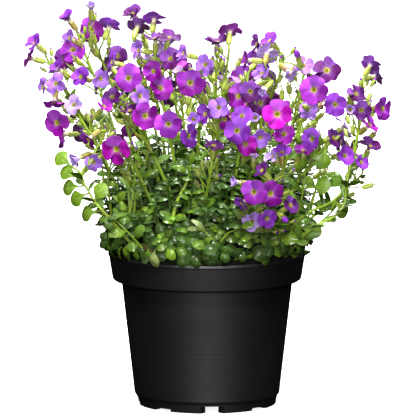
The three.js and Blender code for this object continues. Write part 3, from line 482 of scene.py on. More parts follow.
def place_seen(across, seen, back):
    """The place that is seen there, on the plant's bulging front or this far behind it"""
    side = across / FRONT_WIDTH
    rise = max(0, seen - FRONT_SHOULDER) / FRONT_CROWN
    depth = back - FRONT_DEPTH * math.sqrt(max(FRONT_EDGE, 1 - side * side - rise * rise))
    return np.array([across, depth, seen - depth * VIEW_SLOPE])


def heading(angle, rise=0):
    """The direction at this angle round the vertical axis, in radians, with this much rise"""
    return np.array([math.cos(angle), math.sin(angle), rise])


def facing(turn, nod):
    """The direction turned from the viewer to the right and up"""
    flat = math.cos(math.radians(nod))
    turn = math.radians(turn)
    return np.array([math.sin(turn) * flat, -math.cos(turn) * flat, math.sin(math.radians(nod))])


def flower_frame(axis, roll):
    """Columns: two directions across the flower, and its axis"""
    across = unit(np.cross(UP, axis))
    up = np.cross(axis, across)
    turn = math.radians(roll)
    one = across * math.cos(turn) + up * math.sin(turn)
    return np.column_stack([one, np.cross(axis, one), axis])


class Bloom:
    """One flower: where it is, where it faces, and which way it may give way"""

    def __init__(self, centre, axis, span, opening, tint, roll, inward):
        self.centre, self.axis, self.inward = centre, axis, inward
        self.span, self.opening, self.tint, self.roll = span, opening, tint, roll

    def fix(self):
        """Where its calyx ends and how it is turned, once it stays where it is"""
        self.foot = self.centre - self.axis * (TUBE_LENGTH + CALYX_LENGTH)
        self.frame = flower_frame(self.axis, self.roll)

    def cloud(self):
        """Points over the flower and its tube, to test whether it stands clear"""
        points = [(0, 0, depth) for depth in TEST_DEPTHS]
        opening = math.radians(self.opening)
        for share, count in TEST_RINGS:
            out = share * self.span / 2
            away = out * math.sin(opening)
            for k in range(count):
                angle = k / count * 2 * math.pi
                points.append(heading(angle) * away + UP * (out * math.cos(opening)))
        return np.array(points) @ flower_frame(self.axis, 0).T + self.centre


class Raceme:
    """Flowers that grow on one stem"""

    def __init__(self, blooms, via=(), leaves=(), back=0, root=None):
        self.blooms, self.via, self.leaf_tips = blooms, via, leaves
        self.back, self.root_place = back, root


def front_raceme(row, index):
    """A raceme whose flowers stand where the photo shows them"""
    back = row["layer"] * LAYER_STEP
    inward = np.array([0, 1, -VIEW_SLOPE])
    blooms = []
    for k, (across, seen, span, turn, nod, opening, tint, *further) in enumerate(row["blooms"]):
        centre = place_seen(across, seen, back + sum(further))
        roll = ROLL + ROLL_VARIETY * draw(index * 9 + k)
        blooms.append(Bloom(centre, facing(turn, nod), span, opening, tint, roll, inward))
    return Raceme(blooms, row.get("via", ()), row.get("leaves", ()), back, row.get("root"))


def back_raceme(row, index):
    """A raceme of three flowers inside or behind, turned and tinted by rule"""
    angle, reach, height, *turned_up = row
    out = heading(math.radians(angle))
    aside = np.array([-out[1], out[0], 0])
    blooms = []
    for k, (sideways, inner, drop, span, turn, nod, opening) in enumerate(BACK_FLOWERS):
        seed = 500 + index * 7 + k
        centre = out * (reach - inner) + aside * (sideways + BACK_SHIFT * draw(seed))
        centre = centre + UP * (height - drop + BACK_LIFT * draw(seed + 90))
        axis = facing(
            angle + 90 + turn + BACK_TURN * draw(seed + 30),
            nod + sum(turned_up) + BACK_NOD * draw(seed + 60))
        tint = list(TINTS)[(index * 3 + k * 2) % len(TINTS)]
        roll = ROLL + ROLL_VARIETY * draw(seed)
        blooms.append(Bloom(centre, axis, span, opening, tint, roll, -out))
    return Raceme(blooms)


def stand_clear(blooms):
    """Every flower in turn moves in until it stands clear of those before it, as in the model"""
    fixed = np.empty((0, 3))
    for bloom in blooms:
        points = bloom.cloud()
        for _ in range(PUSH_STEPS):
            gaps = ((points[:, None] - fixed[None]) ** 2).sum(-1)
            if not (gaps < CLEAR_OF_FLOWER ** 2).any():
                break
            bloom.centre = bloom.centre + bloom.inward * PUSH
            points = points + bloom.inward * PUSH
        fixed = np.vstack([fixed, points])


def through(knots, steps):
    """Points on a smooth curve through the knots, evenly by share of the knots' count"""
    knots = [np.asarray(knot, float) for knot in knots]
    padded = [2 * knots[0] - knots[1], *knots, 2 * knots[-1] - knots[-2]]
    points = []
    for i in range(steps + 1):
        share = i / steps * (len(knots) - 1)
        k = min(int(share), len(knots) - 2)
        t = share - k
        before, one, two, after = padded[k:k + 4]
        leave, arrive = (two - before) / 2, (after - one) / 2
        points.append(
            one + leave * t + (3 * (two - one) - 2 * leave - arrive) * t ** 2
            + (2 * (one - two) + leave + arrive) * t ** 3)
    return np.array(points)


def stem_root(raceme):
    """Where the stem leaves the crown: under its flowers and pulled in, or at its given place"""
    root = np.mean([bloom.foot for bloom in raceme.blooms], axis=0) * ROOT_PULL
    root[2] = 0
    reach = np.linalg.norm(root)
    if reach > ROOT_REACH:
        root *= ROOT_REACH / reach
    if raceme.root_place:
        root[:2] = raceme.root_place
    root[2] = CROWN_HEIGHT
    return root


def grow_stem(raceme, index):
    """The stem's course, where each flower's stalk and each leaf leaves it, and the leaves"""
    leader = raceme.blooms[0]
    root = stem_root(raceme)
    neck = leader.foot - leader.axis * NECK_BACK - UP * NECK_DROP
    reach = neck - root
    if raceme.via:
        course = [place_seen(across, seen, raceme.back + STEM_BACK) for across, seen in raceme.via]
    else:
        course = [
            root + reach * np.array([share ** STEM_BOW, share ** STEM_BOW, share])
            for share in STEM_SHARES]
    knots = [root, *course, neck, leader.foot]
    path = through(knots, STEM_STEPS + 2 * len(raceme.via))
    free = [
        path[i] + (path[i + 1] - path[i]) * (k + 0.5) / FORK_SHARES
        for i in range(1, len(path) - 1) for k in range(FORK_SHARES)]

    def take(place):
        """The nearest free place on the stem, which is then taken"""
        best = int(np.argmin([np.linalg.norm(point - place) for point in free]))
        return free.pop(best)

    raceme.path = through(knots, STEM_PATH_STEPS + VIA_PATH_STEPS * len(raceme.via))
    raceme.forks = [take(bloom.foot - UP * PEDICEL_DROP) for bloom in raceme.blooms[1:]]
    raceme.leaves = []
    for across, seen in raceme.leaf_tips:
        tip = place_seen(across, seen, raceme.back + STEM_BACK)
        raceme.leaves.append((take(tip - UP * LARGE_LEAF_DROP), tip, LARGE_LEAF_WIDTH))
    base = free[min(STEM_LEAF_PLACE, len(free) - 1)]
    angle = GOLDEN_ANGLE * index + STEM_LEAF_TURN * draw(index * 5)
    outward = heading(angle, STEM_LEAF_RISE)
    raceme.leaves.append((base, base + outward * STEM_LEAF_LENGTH, STEM_LEAF_WIDTH))


def lay_out():
    """All racemes, laid out as in the model"""
    racemes = [front_raceme(row, i) for i, row in enumerate(RACEMES)]
    racemes += [back_raceme(row, i) for i, row in enumerate(BACK_RACEMES)]
    blooms = [bloom for raceme in racemes for bloom in raceme.blooms]
    stand_clear(blooms)
    for bloom in blooms:
        bloom.fix()
    for index, raceme in enumerate(racemes):
        grow_stem(raceme, index)
    return racemes


def put_in(name, data):
    """An object of the scene that holds this mesh, lamp or camera"""
    made = bpy.data.objects.new(name, data)
    bpy.context.scene.collection.objects.link(made)
    return made


class Shape:
    """Points and faces of one piece, and what its materials read at each point: its place
    (across, along, and 1 on the upper side) and its tint"""

    def __init__(self):
        self.points, self.place, self.tint, self.faces, self.slots = [], [], [], [], []
        self.count = 0

    def add(self, points, faces, slot, place=(0, 0, 1), tint=(1, 1, 1)):
        """One more closed body, with the material in that slot"""
        points = np.asarray(points, float).reshape(-1, 3)
        self.points.append(points)
        self.place.append(np.broadcast_to(np.asarray(place, float), points.shape))
        self.tint.append(np.broadcast_to(np.asarray(tint, float), points.shape))
        for part in faces:
            self.faces.append(np.asarray(part) + self.count)
            self.slots.append(np.full(len(part), slot))
        self.count += len(points)

    def build(self, name, materials):
        """The piece, which rides on the one body"""
        sizes = np.concatenate([np.full(len(part), part.shape[1]) for part in self.faces])
        corners = np.concatenate([part.ravel() for part in self.faces])
        mesh = bpy.data.meshes.new(name)
        mesh.vertices.add(self.count)
        mesh.vertices.foreach_set("co", (np.concatenate(self.points) * MM).ravel())
        mesh.loops.add(len(corners))
        mesh.loops.foreach_set("vertex_index", corners.astype(np.int32))
        mesh.polygons.add(len(sizes))
        starts = np.concatenate([[0], np.cumsum(sizes)[:-1]]).astype(np.int32)
        mesh.polygons.foreach_set("loop_start", starts)
        mesh.polygons.foreach_set("material_index", np.concatenate(self.slots).astype(np.int32))
        mesh.polygons.foreach_set("use_smooth", np.ones(len(sizes), bool))
        mesh.update(calc_edges=True)
        place = mesh.attributes.new("place", "FLOAT_VECTOR", "POINT")
        place.data.foreach_set("vector", np.concatenate(self.place).ravel())
        tint = mesh.attributes.new("tint", "FLOAT_COLOR", "POINT")
        rows = np.concatenate(self.tint)
        tint.data.foreach_set("color", np.column_stack([rows, np.ones(len(rows))]).ravel())
        mesh.validate()
        mesh.set_sharp_from_angle(angle=math.radians(SHARP_ANGLE))
        for material in materials:
            mesh.materials.append(material)
        piece = put_in(name, mesh)
        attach(piece, "root")
        return piece


def disc(rows, columns):
    """A grid over a round disc: places across it and along it, from -1 to 1"""
    along, across = np.meshgrid(
        np.linspace(-1, 1, rows + 1), np.linspace(-1, 1, columns + 1), indexing="ij")
    return across * np.sqrt(1 - along ** 2 / 2), along * np.sqrt(1 - across ** 2 / 2)


PETAL_ACROSS, PETAL_ALONG = disc(*PETAL_GRID)
LEAF_ACROSS, LEAF_ALONG = disc(*LEAF_GRID)
SMALL_ACROSS, SMALL_ALONG = disc(*SMALL_LEAF_GRID)


def blade_faces(rows, columns):
    """Faces of a thin closed blade: its upper side, its under side and the band round them"""
    index = np.arange((rows + 1) * (columns + 1)).reshape(rows + 1, columns + 1)
    count = index.size
    upper = np.stack([index[:-1, :-1], index[1:, :-1], index[1:, 1:], index[:-1, 1:]], -1)
    upper = upper.reshape(-1, 4)
    under = upper[:, ::-1] + count
    loop = np.concatenate([index[:-1, 0], index[-1, :-1], index[:0:-1, -1], index[0, :0:-1]])
    ahead = np.roll(loop, -1)
    band = np.stack([ahead, loop, loop + count, ahead + count], -1)
    return np.concatenate([upper, under, band])


def add_blade(shape, grid, thick, slot, across, along, tint):
    """A thin closed blade whose upper side is the grid of points"""
    rise = np.cross(np.gradient(grid, axis=0), np.gradient(grid, axis=1))
    rise /= np.maximum(np.linalg.norm(rise, axis=-1, keepdims=True), 1e-9)
    under = grid - rise * thick
    points = np.concatenate([grid.reshape(-1, 3), under.reshape(-1, 3)])
    flags = np.repeat([1.0, 0.0], across.size)
    place = np.column_stack([np.tile(across.ravel(), 2), np.tile(along.ravel(), 2), flags])
    faces = blade_faces(grid.shape[0] - 1, grid.shape[1] - 1)
    shape.add(points, [faces], slot, place, tint)


def round_angles(sides):
    """Angles in even steps round a circle, in radians"""
    return np.arange(sides) / sides * 2 * np.pi


def level_ring(radius, height, sides):
    """A ring of points round the vertical axis; its radius and height may vary on the way"""
    angles = round_angles(sides)
    return np.column_stack([np.cos(angles) * radius, np.sin(angles) * radius, height + 0 * angles])


def ring_faces(rings, sides, closed=False):
    """Faces between rings of points that follow each other"""
    index = np.arange(rings * sides).reshape(rings, sides)
    low = index if closed else index[:-1]
    high = np.roll(index, -1, axis=0) if closed else index[1:]
    return np.stack([low, np.roll(low, -1, 1), np.roll(high, -1, 1), high], -1).reshape(-1, 4)


def add_closed(shape, rings, ends, slot, place=(0, 0, 1), tint=(1, 1, 1), turn=None, origin=None):
    """A closed body of rings that follow each other, with a point at each end"""
    count, sides = len(rings), len(rings[0])
    k = np.arange(sides)
    after = (k + 1) % sides
    last = (count - 1) * sides
    bottom = np.stack([after, k, np.full(sides, count * sides)], -1)
    top = np.stack([last + k, last + after, np.full(sides, count * sides + 1)], -1)
    points = np.concatenate([*rings, ends])
    if turn is not None:
        points = points @ turn.T + origin
    shape.add(points, [ring_faces(count, sides), bottom, top], slot, place, tint)


def add_tube(shape, path, radii, sides, slot, tint, ridge=0.0):
    """A closed round tube along the path"""
    path = np.asarray(path, float)
    along = np.gradient(path, axis=0)
    along /= np.linalg.norm(along, axis=1, keepdims=True)
    first = np.cross(along[0], UP if abs(along[0][2]) < 0.9 else [1, 0, 0])
    angles = round_angles(sides)
    swell = 1 + ridge * np.cos(angles * 4)
    rings = []
    for point, course, radius in zip(path, along, radii):
        first = unit(first - course * np.dot(first, course))
        second = np.cross(course, first)
        out = np.outer(np.cos(angles) * swell, first) + np.outer(np.sin(angles) * swell, second)
        rings.append(point + out * radius)
    shares = np.repeat(np.linspace(0, 1, len(path)), sides)
    place = np.column_stack([np.tile(angles / np.pi - 1, len(path)), shares, np.ones(len(shares))])
    place = np.concatenate([place, [[0, 0, 1], [0, 1, 1]]])
    add_closed(shape, rings, [path[0], path[-1]], slot, place, tint)


def add_lathe(shape, outline, sides, turn, origin, slot, tint, swell=0.0, lift=None):
    """A closed ring of the outline (radius, height) round the axis of a frame"""
    angles = round_angles(sides)
    rings = []
    for i, (radius, height) in enumerate(outline):
        away = radius * (1 + swell * np.cos(4 * angles))
        heights = height + (lift[i] * np.abs(np.cos(2 * angles)) ** 0.7 if lift is not None else 0)
        rings.append(level_ring(away, heights, sides))
    points = np.concatenate(rings) @ turn.T + origin
    heights = np.repeat([height for _, height in outline], sides)
    along = (heights - heights.min()) / np.ptp(heights)
    place = np.column_stack([np.tile(angles / np.pi - 1, len(outline)), along, np.ones(len(along))])
    shape.add(points, [ring_faces(len(outline), sides, closed=True)], slot, place, tint)


def add_blob(shape, centre, radii, turn, slot, tint, sides=8, rings=5):
    """An egg-shaped closed body; its long axis is the frame's third"""
    angles = round_angles(sides)
    levels = np.linspace(-np.pi / 2, np.pi / 2, rings + 2)[1:-1]
    layers = [
        np.column_stack([
            np.cos(angles) * math.cos(level) * radii[0], np.sin(angles) * math.cos(level) * radii[1],
            np.full(sides, math.sin(level) * radii[2])])
        for level in levels]
    along = (np.append(np.repeat(np.sin(levels), sides), [-1, 1]) + 1) / 2
    turns = np.append(np.tile(angles / np.pi - 1, rings), [0, 0])
    place = np.column_stack([turns, along, np.ones(len(along))])
    ends = [[0, 0, -radii[2]], [0, 0, radii[2]]]
    add_closed(shape, layers, ends, slot, place, tint, turn, centre)


def petal_course(share, radius, opening, curl):
    """The claw's share of a petal, and how far out and up its points lie and it leans there"""
    length = CLAW + radius - PETAL_INSET
    claw = CLAW / length
    steps = np.linspace(0, 1, PETAL_STEPS)
    upright = math.radians(CLAW_LEAN)
    angle = upright + (opening - upright) * smooth(claw * 0.55, claw + 0.16, steps)
    angle = angle + curl * smooth(claw, 1, steps) ** 1.5
    gaps = PETAL_STEPS - 1
    away = TUBE_RADIUS + np.concatenate([[0], np.cumsum(np.sin(angle[1:]))]) * length / gaps
    height = -CLAW + np.concatenate([[0], np.cumsum(np.cos(angle[1:]))]) * length / gaps
    return claw, *(np.interp(share, steps, row) for row in (away, height, angle))


def petal_relief(share, lift):
    """How proud of its plane a petal stands: tilted, cupped, folded, twisted and waved at the rim"""
    across = PETAL_ACROSS
    rim = across ** 2 + PETAL_ALONG ** 2
    turn = np.arctan2(PETAL_ALONG, across)
    return (
        lift + PETAL_TILT * across + between(-1.3, 1.4) * across ** 2
        + between(-0.3, 0.9) * np.abs(across) - 0.3 * np.exp(-(across / 0.15) ** 2)
        + between(0.2, 0.8) * np.sin(5 * share + between(0, 6.28)) * across
        + between(0.2, 0.5) * rim ** 2 * np.sin(4 * turn + between(0, 6.28)))


def petal(radius, width, opening, curl, lift):
    """The upper side of one petal that leaves the tube along +X and spreads round it"""
    across = PETAL_ACROSS
    share = (PETAL_ALONG + 1) / 2
    notch = between(0, PETAL_NOTCH)
    share = share - notch * np.exp(-(across / 0.35) ** 2) * smooth(0.75, 1, share)
    claw, out, up, lean = petal_course(share, radius, opening, curl)
    broad = CLAW_WIDTH + (1 - CLAW_WIDTH) * smooth(claw * 0.8, 0.6, share)
    side = across * width * (broad * (1 + 0.14 * smooth(0.5, 0.85, share)))
    around = side / np.maximum(out, 1.2)
    wrap = np.clip(np.cos(lean), 0, 1)
    x = out * (1 - wrap) + out * np.cos(around) * wrap
    y = side * (1 - wrap) + out * np.sin(around) * wrap
    blade = smooth(claw, claw + 0.3, share)
    proud = petal_relief(share, lift) * blade * radius / PETAL_LENGTH
    return np.stack([x - np.cos(lean) * proud, y, up + np.sin(lean) * proud], -1)


def turn_about_axis(angle):
    """The turn by this angle about a flower's own axis"""
    c, s = math.cos(angle), math.sin(angle)
    return np.array([[c, -s, 0], [s, c, 0], [0, 0, 1]])


def add_petals(shape, bloom, tint):
    """Four petals, each a little different; where they face up they are paler and more lilac, a
    painted top light
    """
    radius = bloom.span / 2
    width = radius * (SLIM_PETAL if bloom.tint in SLIM_TINTS else BROAD_PETAL)
    bend_all = between(-10, 30)
    for k in range(PETALS):
        opening = math.radians(min(bloom.opening + between(-14, 8), PETAL_OPEN_MOST))
        curl = bend_all + between(-18, 26)
        if chance.random() < ODD_PETALS:
            curl += chance.choice(ODD_CURLS)
        grid = petal(
            radius * between(0.95, 1.04), width * between(0.92, 1.07), opening,
            math.radians(curl) * bloom.opening / 90, PETAL_LIFTS[k % 2])
        turn = bloom.frame @ turn_about_axis(math.radians(45 + 90 * k + between(-6, 6)))
        shade = between(0.72, 1.15)
        # Painted top light: a petal that faces up is mixed toward lilac, as if lit from above
        painted_top_light = max(0, turn[2, 0]) * between(0.1, 0.5)
        add_blade(
            shape, grid @ turn.T + bloom.centre, PETAL_THICKNESS, PETAL, PETAL_ACROSS,
            (PETAL_ALONG + 1) / 2, np.clip(tint * shade * (1 - painted_top_light) + TOP_LIGHT_LILAC * painted_top_light, 0, 1))


def add_flower(shape, bloom):
    """An open flower: petals, the tube's mouth, six anthers round a stigma, and the calyx"""
    tint = linear(TINTS[bloom.tint])
    add_petals(shape, bloom, tint)
    add_lathe(shape, THROAT, THROAT_SIDES, bloom.frame, bloom.centre, CLAWS, tint)
    open_share = min(1, bloom.opening / 70)
    for k in range(ANTHERS):
        angle = k * 2 * math.pi / ANTHERS + 0.3
        away = ANTHER_REACH[min(1, k % 3)]
        place = heading(angle) * away + UP * (0.35 * open_share - 0.2)
        lean = unit(heading(angle) * 0.35 + UP)
        turn = bloom.frame @ flower_frame(lean, 0)
        add_blob(
            shape, bloom.frame @ place + bloom.centre, ANTHER_SIZE, turn, ANTHER, (1, 1, 1),
            sides=6, rings=3)
    add_blob(
        shape, bloom.frame @ np.array([0, 0, -STIGMA_SINK]) + bloom.centre, STIGMA_SIZE, bloom.frame,
        STEM, GREEN["middle"], sides=6, rings=3)
    tint = GREEN["calyx"] * between(0.75, 1.2)
    if chance.random() < FLUSHED_CALYCES:
        tint = tint * CALYX_FLUSH
    add_calyx(shape, bloom.centre, bloom.frame, 1.0, tint)


def add_closed_flower(shape, bloom):
    """A flower about to open: its calyx and the petals still rolled together"""
    tint = linear(TINTS[bloom.tint])
    length = bloom.span * 0.62
    top = bloom.centre + bloom.axis * (length / 2 - 2.6)
    add_blob(shape, top, (1.9, 1.7, length / 2 + 1), bloom.frame, PETAL, tint, sides=12, rings=9)
    add_calyx(shape, bloom.centre, bloom.frame, 1.0, GREEN["calyx"])


def add_calyx(shape, centre, turn, size, tint):
    """Four sepals grown together into a cup with pointed tips"""
    outline = [(radius * size, height * size) for radius, height, _ in CALYX_OUTLINE]
    lift = [rise * size for _, _, rise in CALYX_OUTLINE]
    add_lathe(shape, outline, CALYX_SIDES, turn, centre, CALYX, tint, CALYX_SWELL, lift)


def add_bud(shape, foot, axis, size):
    """A closed green bud with the petals' tip just showing"""
    turn = flower_frame(axis, 30)
    tint = GREEN["bud"] * between(0.8, 1.25)
    radii = (1.25 * size, 1.25 * size, 2.7 * size)
    add_blob(shape, foot + axis * 2.6 * size, radii, turn, CALYX, tint)
    tip = linear(TINTS["violet"]) * between(0.7, 1.2)
    radii = (0.75 * size, 0.75 * size, 1.3 * size)
    add_blob(shape, foot + axis * 4.7 * size, radii, turn, PETAL, tip)


def add_pod(shape, foot, axis, size):
    """A calyx whose flower has dropped, with the young pod standing out of it"""
    turn = flower_frame(axis, between(0, 90))
    tint = GREEN["calyx"] * between(0.7, 1.1)
    centre = foot + axis * 9.6 * size
    add_calyx(shape, centre, turn, size, tint)
    radii = (0.7, 0.55, 3.6 * size)
    add_blob(shape, centre - axis * 3.2 * size, radii, turn, STEM, GREEN["pale"] * 0.8)


def bend(start, leave, arrive, end, steps):
    """A smooth course between two places that leaves and arrives in the given directions"""
    t = np.linspace(0, 1, steps)[:, None]
    one, two = start + leave, end - arrive
    return (1 - t) ** 3 * start + 3 * (1 - t) ** 2 * t * one + 3 * (1 - t) * t * t * two + t ** 3 * end


def add_leaf(
        shape, slot, base, tip, width, face, tint, arch, curl, bulge=0.12, neck=0.25, small=False):
    """A leaf from its base to its tip; its upper side turns toward 'face'"""
    across, along = (SMALL_ACROSS, SMALL_ALONG) if small else (LEAF_ACROSS, LEAF_ALONG)
    share = (along + 1) / 2
    reach = tip - base
    length = np.linalg.norm(reach)
    course = reach / length
    side = unit(np.cross(face, course))
    rise = np.cross(course, side)
    broad = neck + (1 - neck) * smooth(0.1, 0.58, share)
    flank = across * broad * width / 2
    camber = arch * length * 4 * share * (1 - share) - curl * length * smooth(0.5, 1, share) ** 2
    camber = camber - bulge * width * across ** 2 * smooth(0.15, 0.6, share)
    camber = camber - 0.03 * width * np.exp(-(across / 0.14) ** 2) * (1 - share)
    grid = base + share[..., None] * reach + flank[..., None] * side + camber[..., None] * rise
    thick = SMALL_LEAF_THICKNESS if small else LEAF_THICKNESS
    add_blade(shape, grid[:, ::-1], thick, slot, across[:, ::-1], share[:, ::-1], tint)


def stem_radii(count, foot, tip):
    """Radii from the foot to the tip, which taper fastest near the foot"""
    shares = np.linspace(0, 1, count)
    return tip + (foot - tip) * (1 - shares) ** 1.7


def nearest(path, place):
    """Which point of the path lies nearest to the place"""
    return int(np.argmin(np.linalg.norm(path - place, axis=1)))


def wavering(path):
    """The path with small slow bends, which fade at its ends"""
    knots = np.linspace(0, len(path) - 1, WAVER_KNOTS)
    waver = np.column_stack([
        np.interp(np.arange(len(path)), knots, between(-WAVER, WAVER, WAVER_KNOTS))
        for _ in range(3)])
    waver *= np.sin(np.linspace(0, np.pi, len(path)))[:, None]
    return path + waver


def add_raceme(shape, raceme):
    """A whole raceme: stem, stalks, flowers, buds and leaves"""
    path = wavering(raceme.path)
    shade = between(0.8, 1.15)
    radii = stem_radii(len(path), SLIM_STEM_FOOT if raceme.via else STEM_FOOT, STEM_TIP)
    radii[-1] = STEM_END
    add_tube(shape, path, radii, STEM_SIDES, STEM, GREEN["stem"] * shade, STEM_RIDGE)
    add_stalks(shape, raceme, path, shade)
    for bloom in raceme.blooms:
        add = add_closed_flower if bloom.opening < CLOSED_BELOW else add_flower
        add(shape, bloom)
    add_spent(shape, path, shade)
    add_stem_leaves(shape, raceme, path, shade)
    add_small_leaves(shape, path, SLIM_STEM_LEAVES_FROM if raceme.via else SMALL_LEAVES_FROM)


def add_stalks(shape, raceme, path, shade):
    """A curved stalk from the stem to each flower but the leader"""
    for bloom, fork in zip(raceme.blooms[1:], raceme.forks):
        i = min(max(nearest(path, fork), 1), len(path) - 2)
        climb = unit(path[i + 1] - path[i - 1])
        gap = np.linalg.norm(bloom.foot - path[i])
        course = bend(path[i], climb * gap * 0.4, bloom.axis * gap * 0.3, bloom.foot, STALK_STEPS)
        radii = np.linspace(*STALK_RADII, STALK_STEPS)
        radii[0] = STALK_FOOT
        radii[-1] = STALK_END
        tint = GREEN["stalk"] * shade * between(0.85, 1.15)
        add_tube(shape, course, radii, STALK_SIDES, STEM, tint)


def add_spent(shape, path, shade):
    """Buds near the stem's top, and below them pods whose flowers have dropped"""
    lengths = np.linalg.norm(np.diff(path, axis=0), axis=1)
    for k in range(SPENT):
        back = 3.5 + SPENT_STEP * k + between(0, 1.5)
        i = len(path) - 1
        gone = 0
        while i > 2 and gone < back + 4:
            i -= 1
            gone += lengths[i]
        climb = unit(path[i + 1] - path[i])
        aside = unit(np.cross(climb, facing(between(0, 360), 10)))
        reach = between(0.6, 1.1) * (1 + 0.13 * k)
        end = path[i] + climb * 5.4 * reach + aside * 4.6 * reach
        axis = unit(climb * 1.2 + aside * 0.6)
        course = bend(path[i], climb * 2, axis * 1.5, end, SPENT_STEPS)
        radii = np.linspace(0.45, 0.38, SPENT_STEPS)
        add_tube(shape, course, radii, FINE_SIDES, STEM, GREEN["stalk"] * shade)
        if k < SPENT_BUDS:
            add_bud(shape, end, axis, between(0.8, 1.2))
        else:
            add_pod(shape, end, axis, between(0.75, 1.0))


def add_stem_leaves(shape, raceme, path, shade):
    """The leaves that the model has too; a large one stands on a stalk and faces the viewer"""
    for base, tip, width in raceme.leaves:
        i = nearest(path, base)
        outward = unit(np.array([base[0], base[1], 0]) + 1e-6)
        face = unit(UP * 0.8 + outward * between(0.5, 1.1))
        kind = GREEN["middle"]
        start = path[i]
        if width > STEM_LEAF_WIDTH:
            face = unit(UP * 0.5 + outward * 0.5 + TO_VIEWER)
            kind = GREEN["bright"]
            start = tip + unit(start - tip) * min(LARGE_LEAF_LENGTH, np.linalg.norm(start - tip))
            leave = (tip - path[i]) * 0.2
            course = bend(path[i], leave, unit(tip - start), start, LARGE_LEAF_STEPS)
            radii = np.linspace(0.7, 0.55, LARGE_LEAF_STEPS)
            add_tube(shape, course, radii, FINE_SIDES, STEM, GREEN["stalk"] * shade)
        add_leaf(
            shape, LEAF, start, tip, width * 1.2, face, kind * between(0.75, 1.2),
            arch=0.12, curl=between(0, 0.15))


def add_small_leaves(shape, path, lowest):
    """Small leaves up the stem, shorter toward its top; low ones are darkened toward the mat's green
    as painted shade
    """
    first = int(0.1 * len(path)) + 2
    for k in range(SMALL_LEAVES):
        share = 0.08 + 0.065 * k + between(-0.02, 0.02)
        i = min(max(int(share * (len(path) - 1)), first), len(path) - 3)
        if path[i][2] < lowest or path[i][2] > SMALL_LEAVES_TO:
            continue
        climb = unit(path[i + 1] - path[i - 1])
        angle = GOLDEN_ANGLE * k + between(0, 1)
        out = unit(heading(angle) * between(0.5, 1.0) + climb * between(0.5, 1.2))
        size = between(*SMALL_LEAF_SIZES) * (1.1 - 0.75 * share)
        face = unit(climb * 1.2 - out * 0.4 + np.array([0, -0.2, 0.3]))
        kind = GREEN["bright"] if chance.random() < 0.35 else GREEN["middle"]
        # Painted shade: leaves low in the plant are darkened toward the mat's green, as if shadowed by
        # those above
        low = 1 - smooth(125, 165, path[i][2])
        kind = kind * (1 - low) + (GREEN["mat"] + kind) * 0.5 * low
        add_leaf(
            shape, LEAF, path[i], path[i] + out * size, size * between(0.42, 0.58), face,
            kind * between(0.6, 1.15), arch=0.12, bulge=0.18, neck=0.3,
            curl=between(0, 0.26), small=True)


def mat_outline(steps):
    """The mat's outline as a smooth course of (radius, height)"""
    return through([(radius, 0, height) for radius, height in MAT_OUTLINE], steps)[:, [0, 2]]


def mat_place(share, angle):
    """A place on the mat, by share of its area from the rim up, and the direction out of it"""
    outline = mat_outline(MAT_STEPS)
    outline[:, 0] = np.maximum(outline[:, 0], 0)
    steps = np.diff(outline, axis=0)
    area = np.linalg.norm(steps, axis=1) * (outline[1:, 0] + outline[:-1, 0])
    total = np.concatenate([[0], np.cumsum(area)]) / area.sum()
    radius = np.interp(share, total, outline[:, 0])
    height = np.interp(share, total, outline[:, 1])
    i = min(int(np.searchsorted(total, share, side="right")) - 1, len(steps) - 1)
    tangent = steps[i] / np.linalg.norm(steps[i])
    away = heading(angle)
    return away * radius + UP * height, unit(away * tangent[1] + UP * -tangent[0])


def add_rosette(shape, centre, axis, size, leaves, brown=False, fresh=None):
    """A rosette of leaves, lighter and more upright toward its heart"""
    turn = flower_frame(axis, between(0, 90)) if abs(axis[2]) < 0.999 else np.eye(3)
    base_tint = GREEN["mat"] * between(0.4, 1.6)
    if fresh is None:
        fresh = between(0, 0.9) ** 2
    for k in range(leaves):
        share = k / max(1, leaves - 1)
        angle = GOLDEN_ANGLE * k + between(-0.3, 0.3)
        spread = math.radians(92 - 56 * share + between(-14, 14))
        out = turn @ (heading(angle) * math.sin(spread) + UP * math.cos(spread))
        if out[2] < -0.6:
            out = unit(out + UP * 0.4)
        length = size * (1 - 0.42 * share) * between(0.82, 1.15)
        base = centre + axis * (1.8 * share)
        face = unit(axis + UP * 0.25 - out * 0.3)
        young = min(1, smooth(0.55, 1, share) * fresh + max(0, fresh - 0.8))
        tint = base_tint * (1 - young) + GREEN["young"] * young
        tint = tint * between(0.7, 1.25)
        if brown and k < 2:
            tint = WITHERED
        add_leaf(
            shape, MAT_LEAF, base, base + out * length, length * between(0.7, 0.86), face,
            np.clip(tint, 0, 1), arch=0.16, bulge=0.34, neck=0.2, curl=between(0.08, 0.3))


def add_mat(shapes):
    """Rosettes all over the mat, shared out by direction"""
    for i in range(ROSETTES):
        share = (i + 0.5) / ROSETTES
        angle = i * GOLDEN_ANGLE + between(-0.12, 0.12)
        place, normal = mat_place(share, angle)
        centre = place - normal * between(*ROSETTE_DEPTHS)
        axis = unit(normal + between(-0.3, 0.3, 3) + UP * 0.1)
        size = between(*ROSETTE_SIZES) * (1 - 0.22 * smooth(0.3, 0.8, share))
        part = int(angle / (2 * math.pi) * MAT_PARTS) % MAT_PARTS
        leaves = int(chance.integers(*ROSETTE_LEAVES))
        add_rosette(shapes[part], centre, axis, size, leaves, i % WITHERED_EVERY == 7)


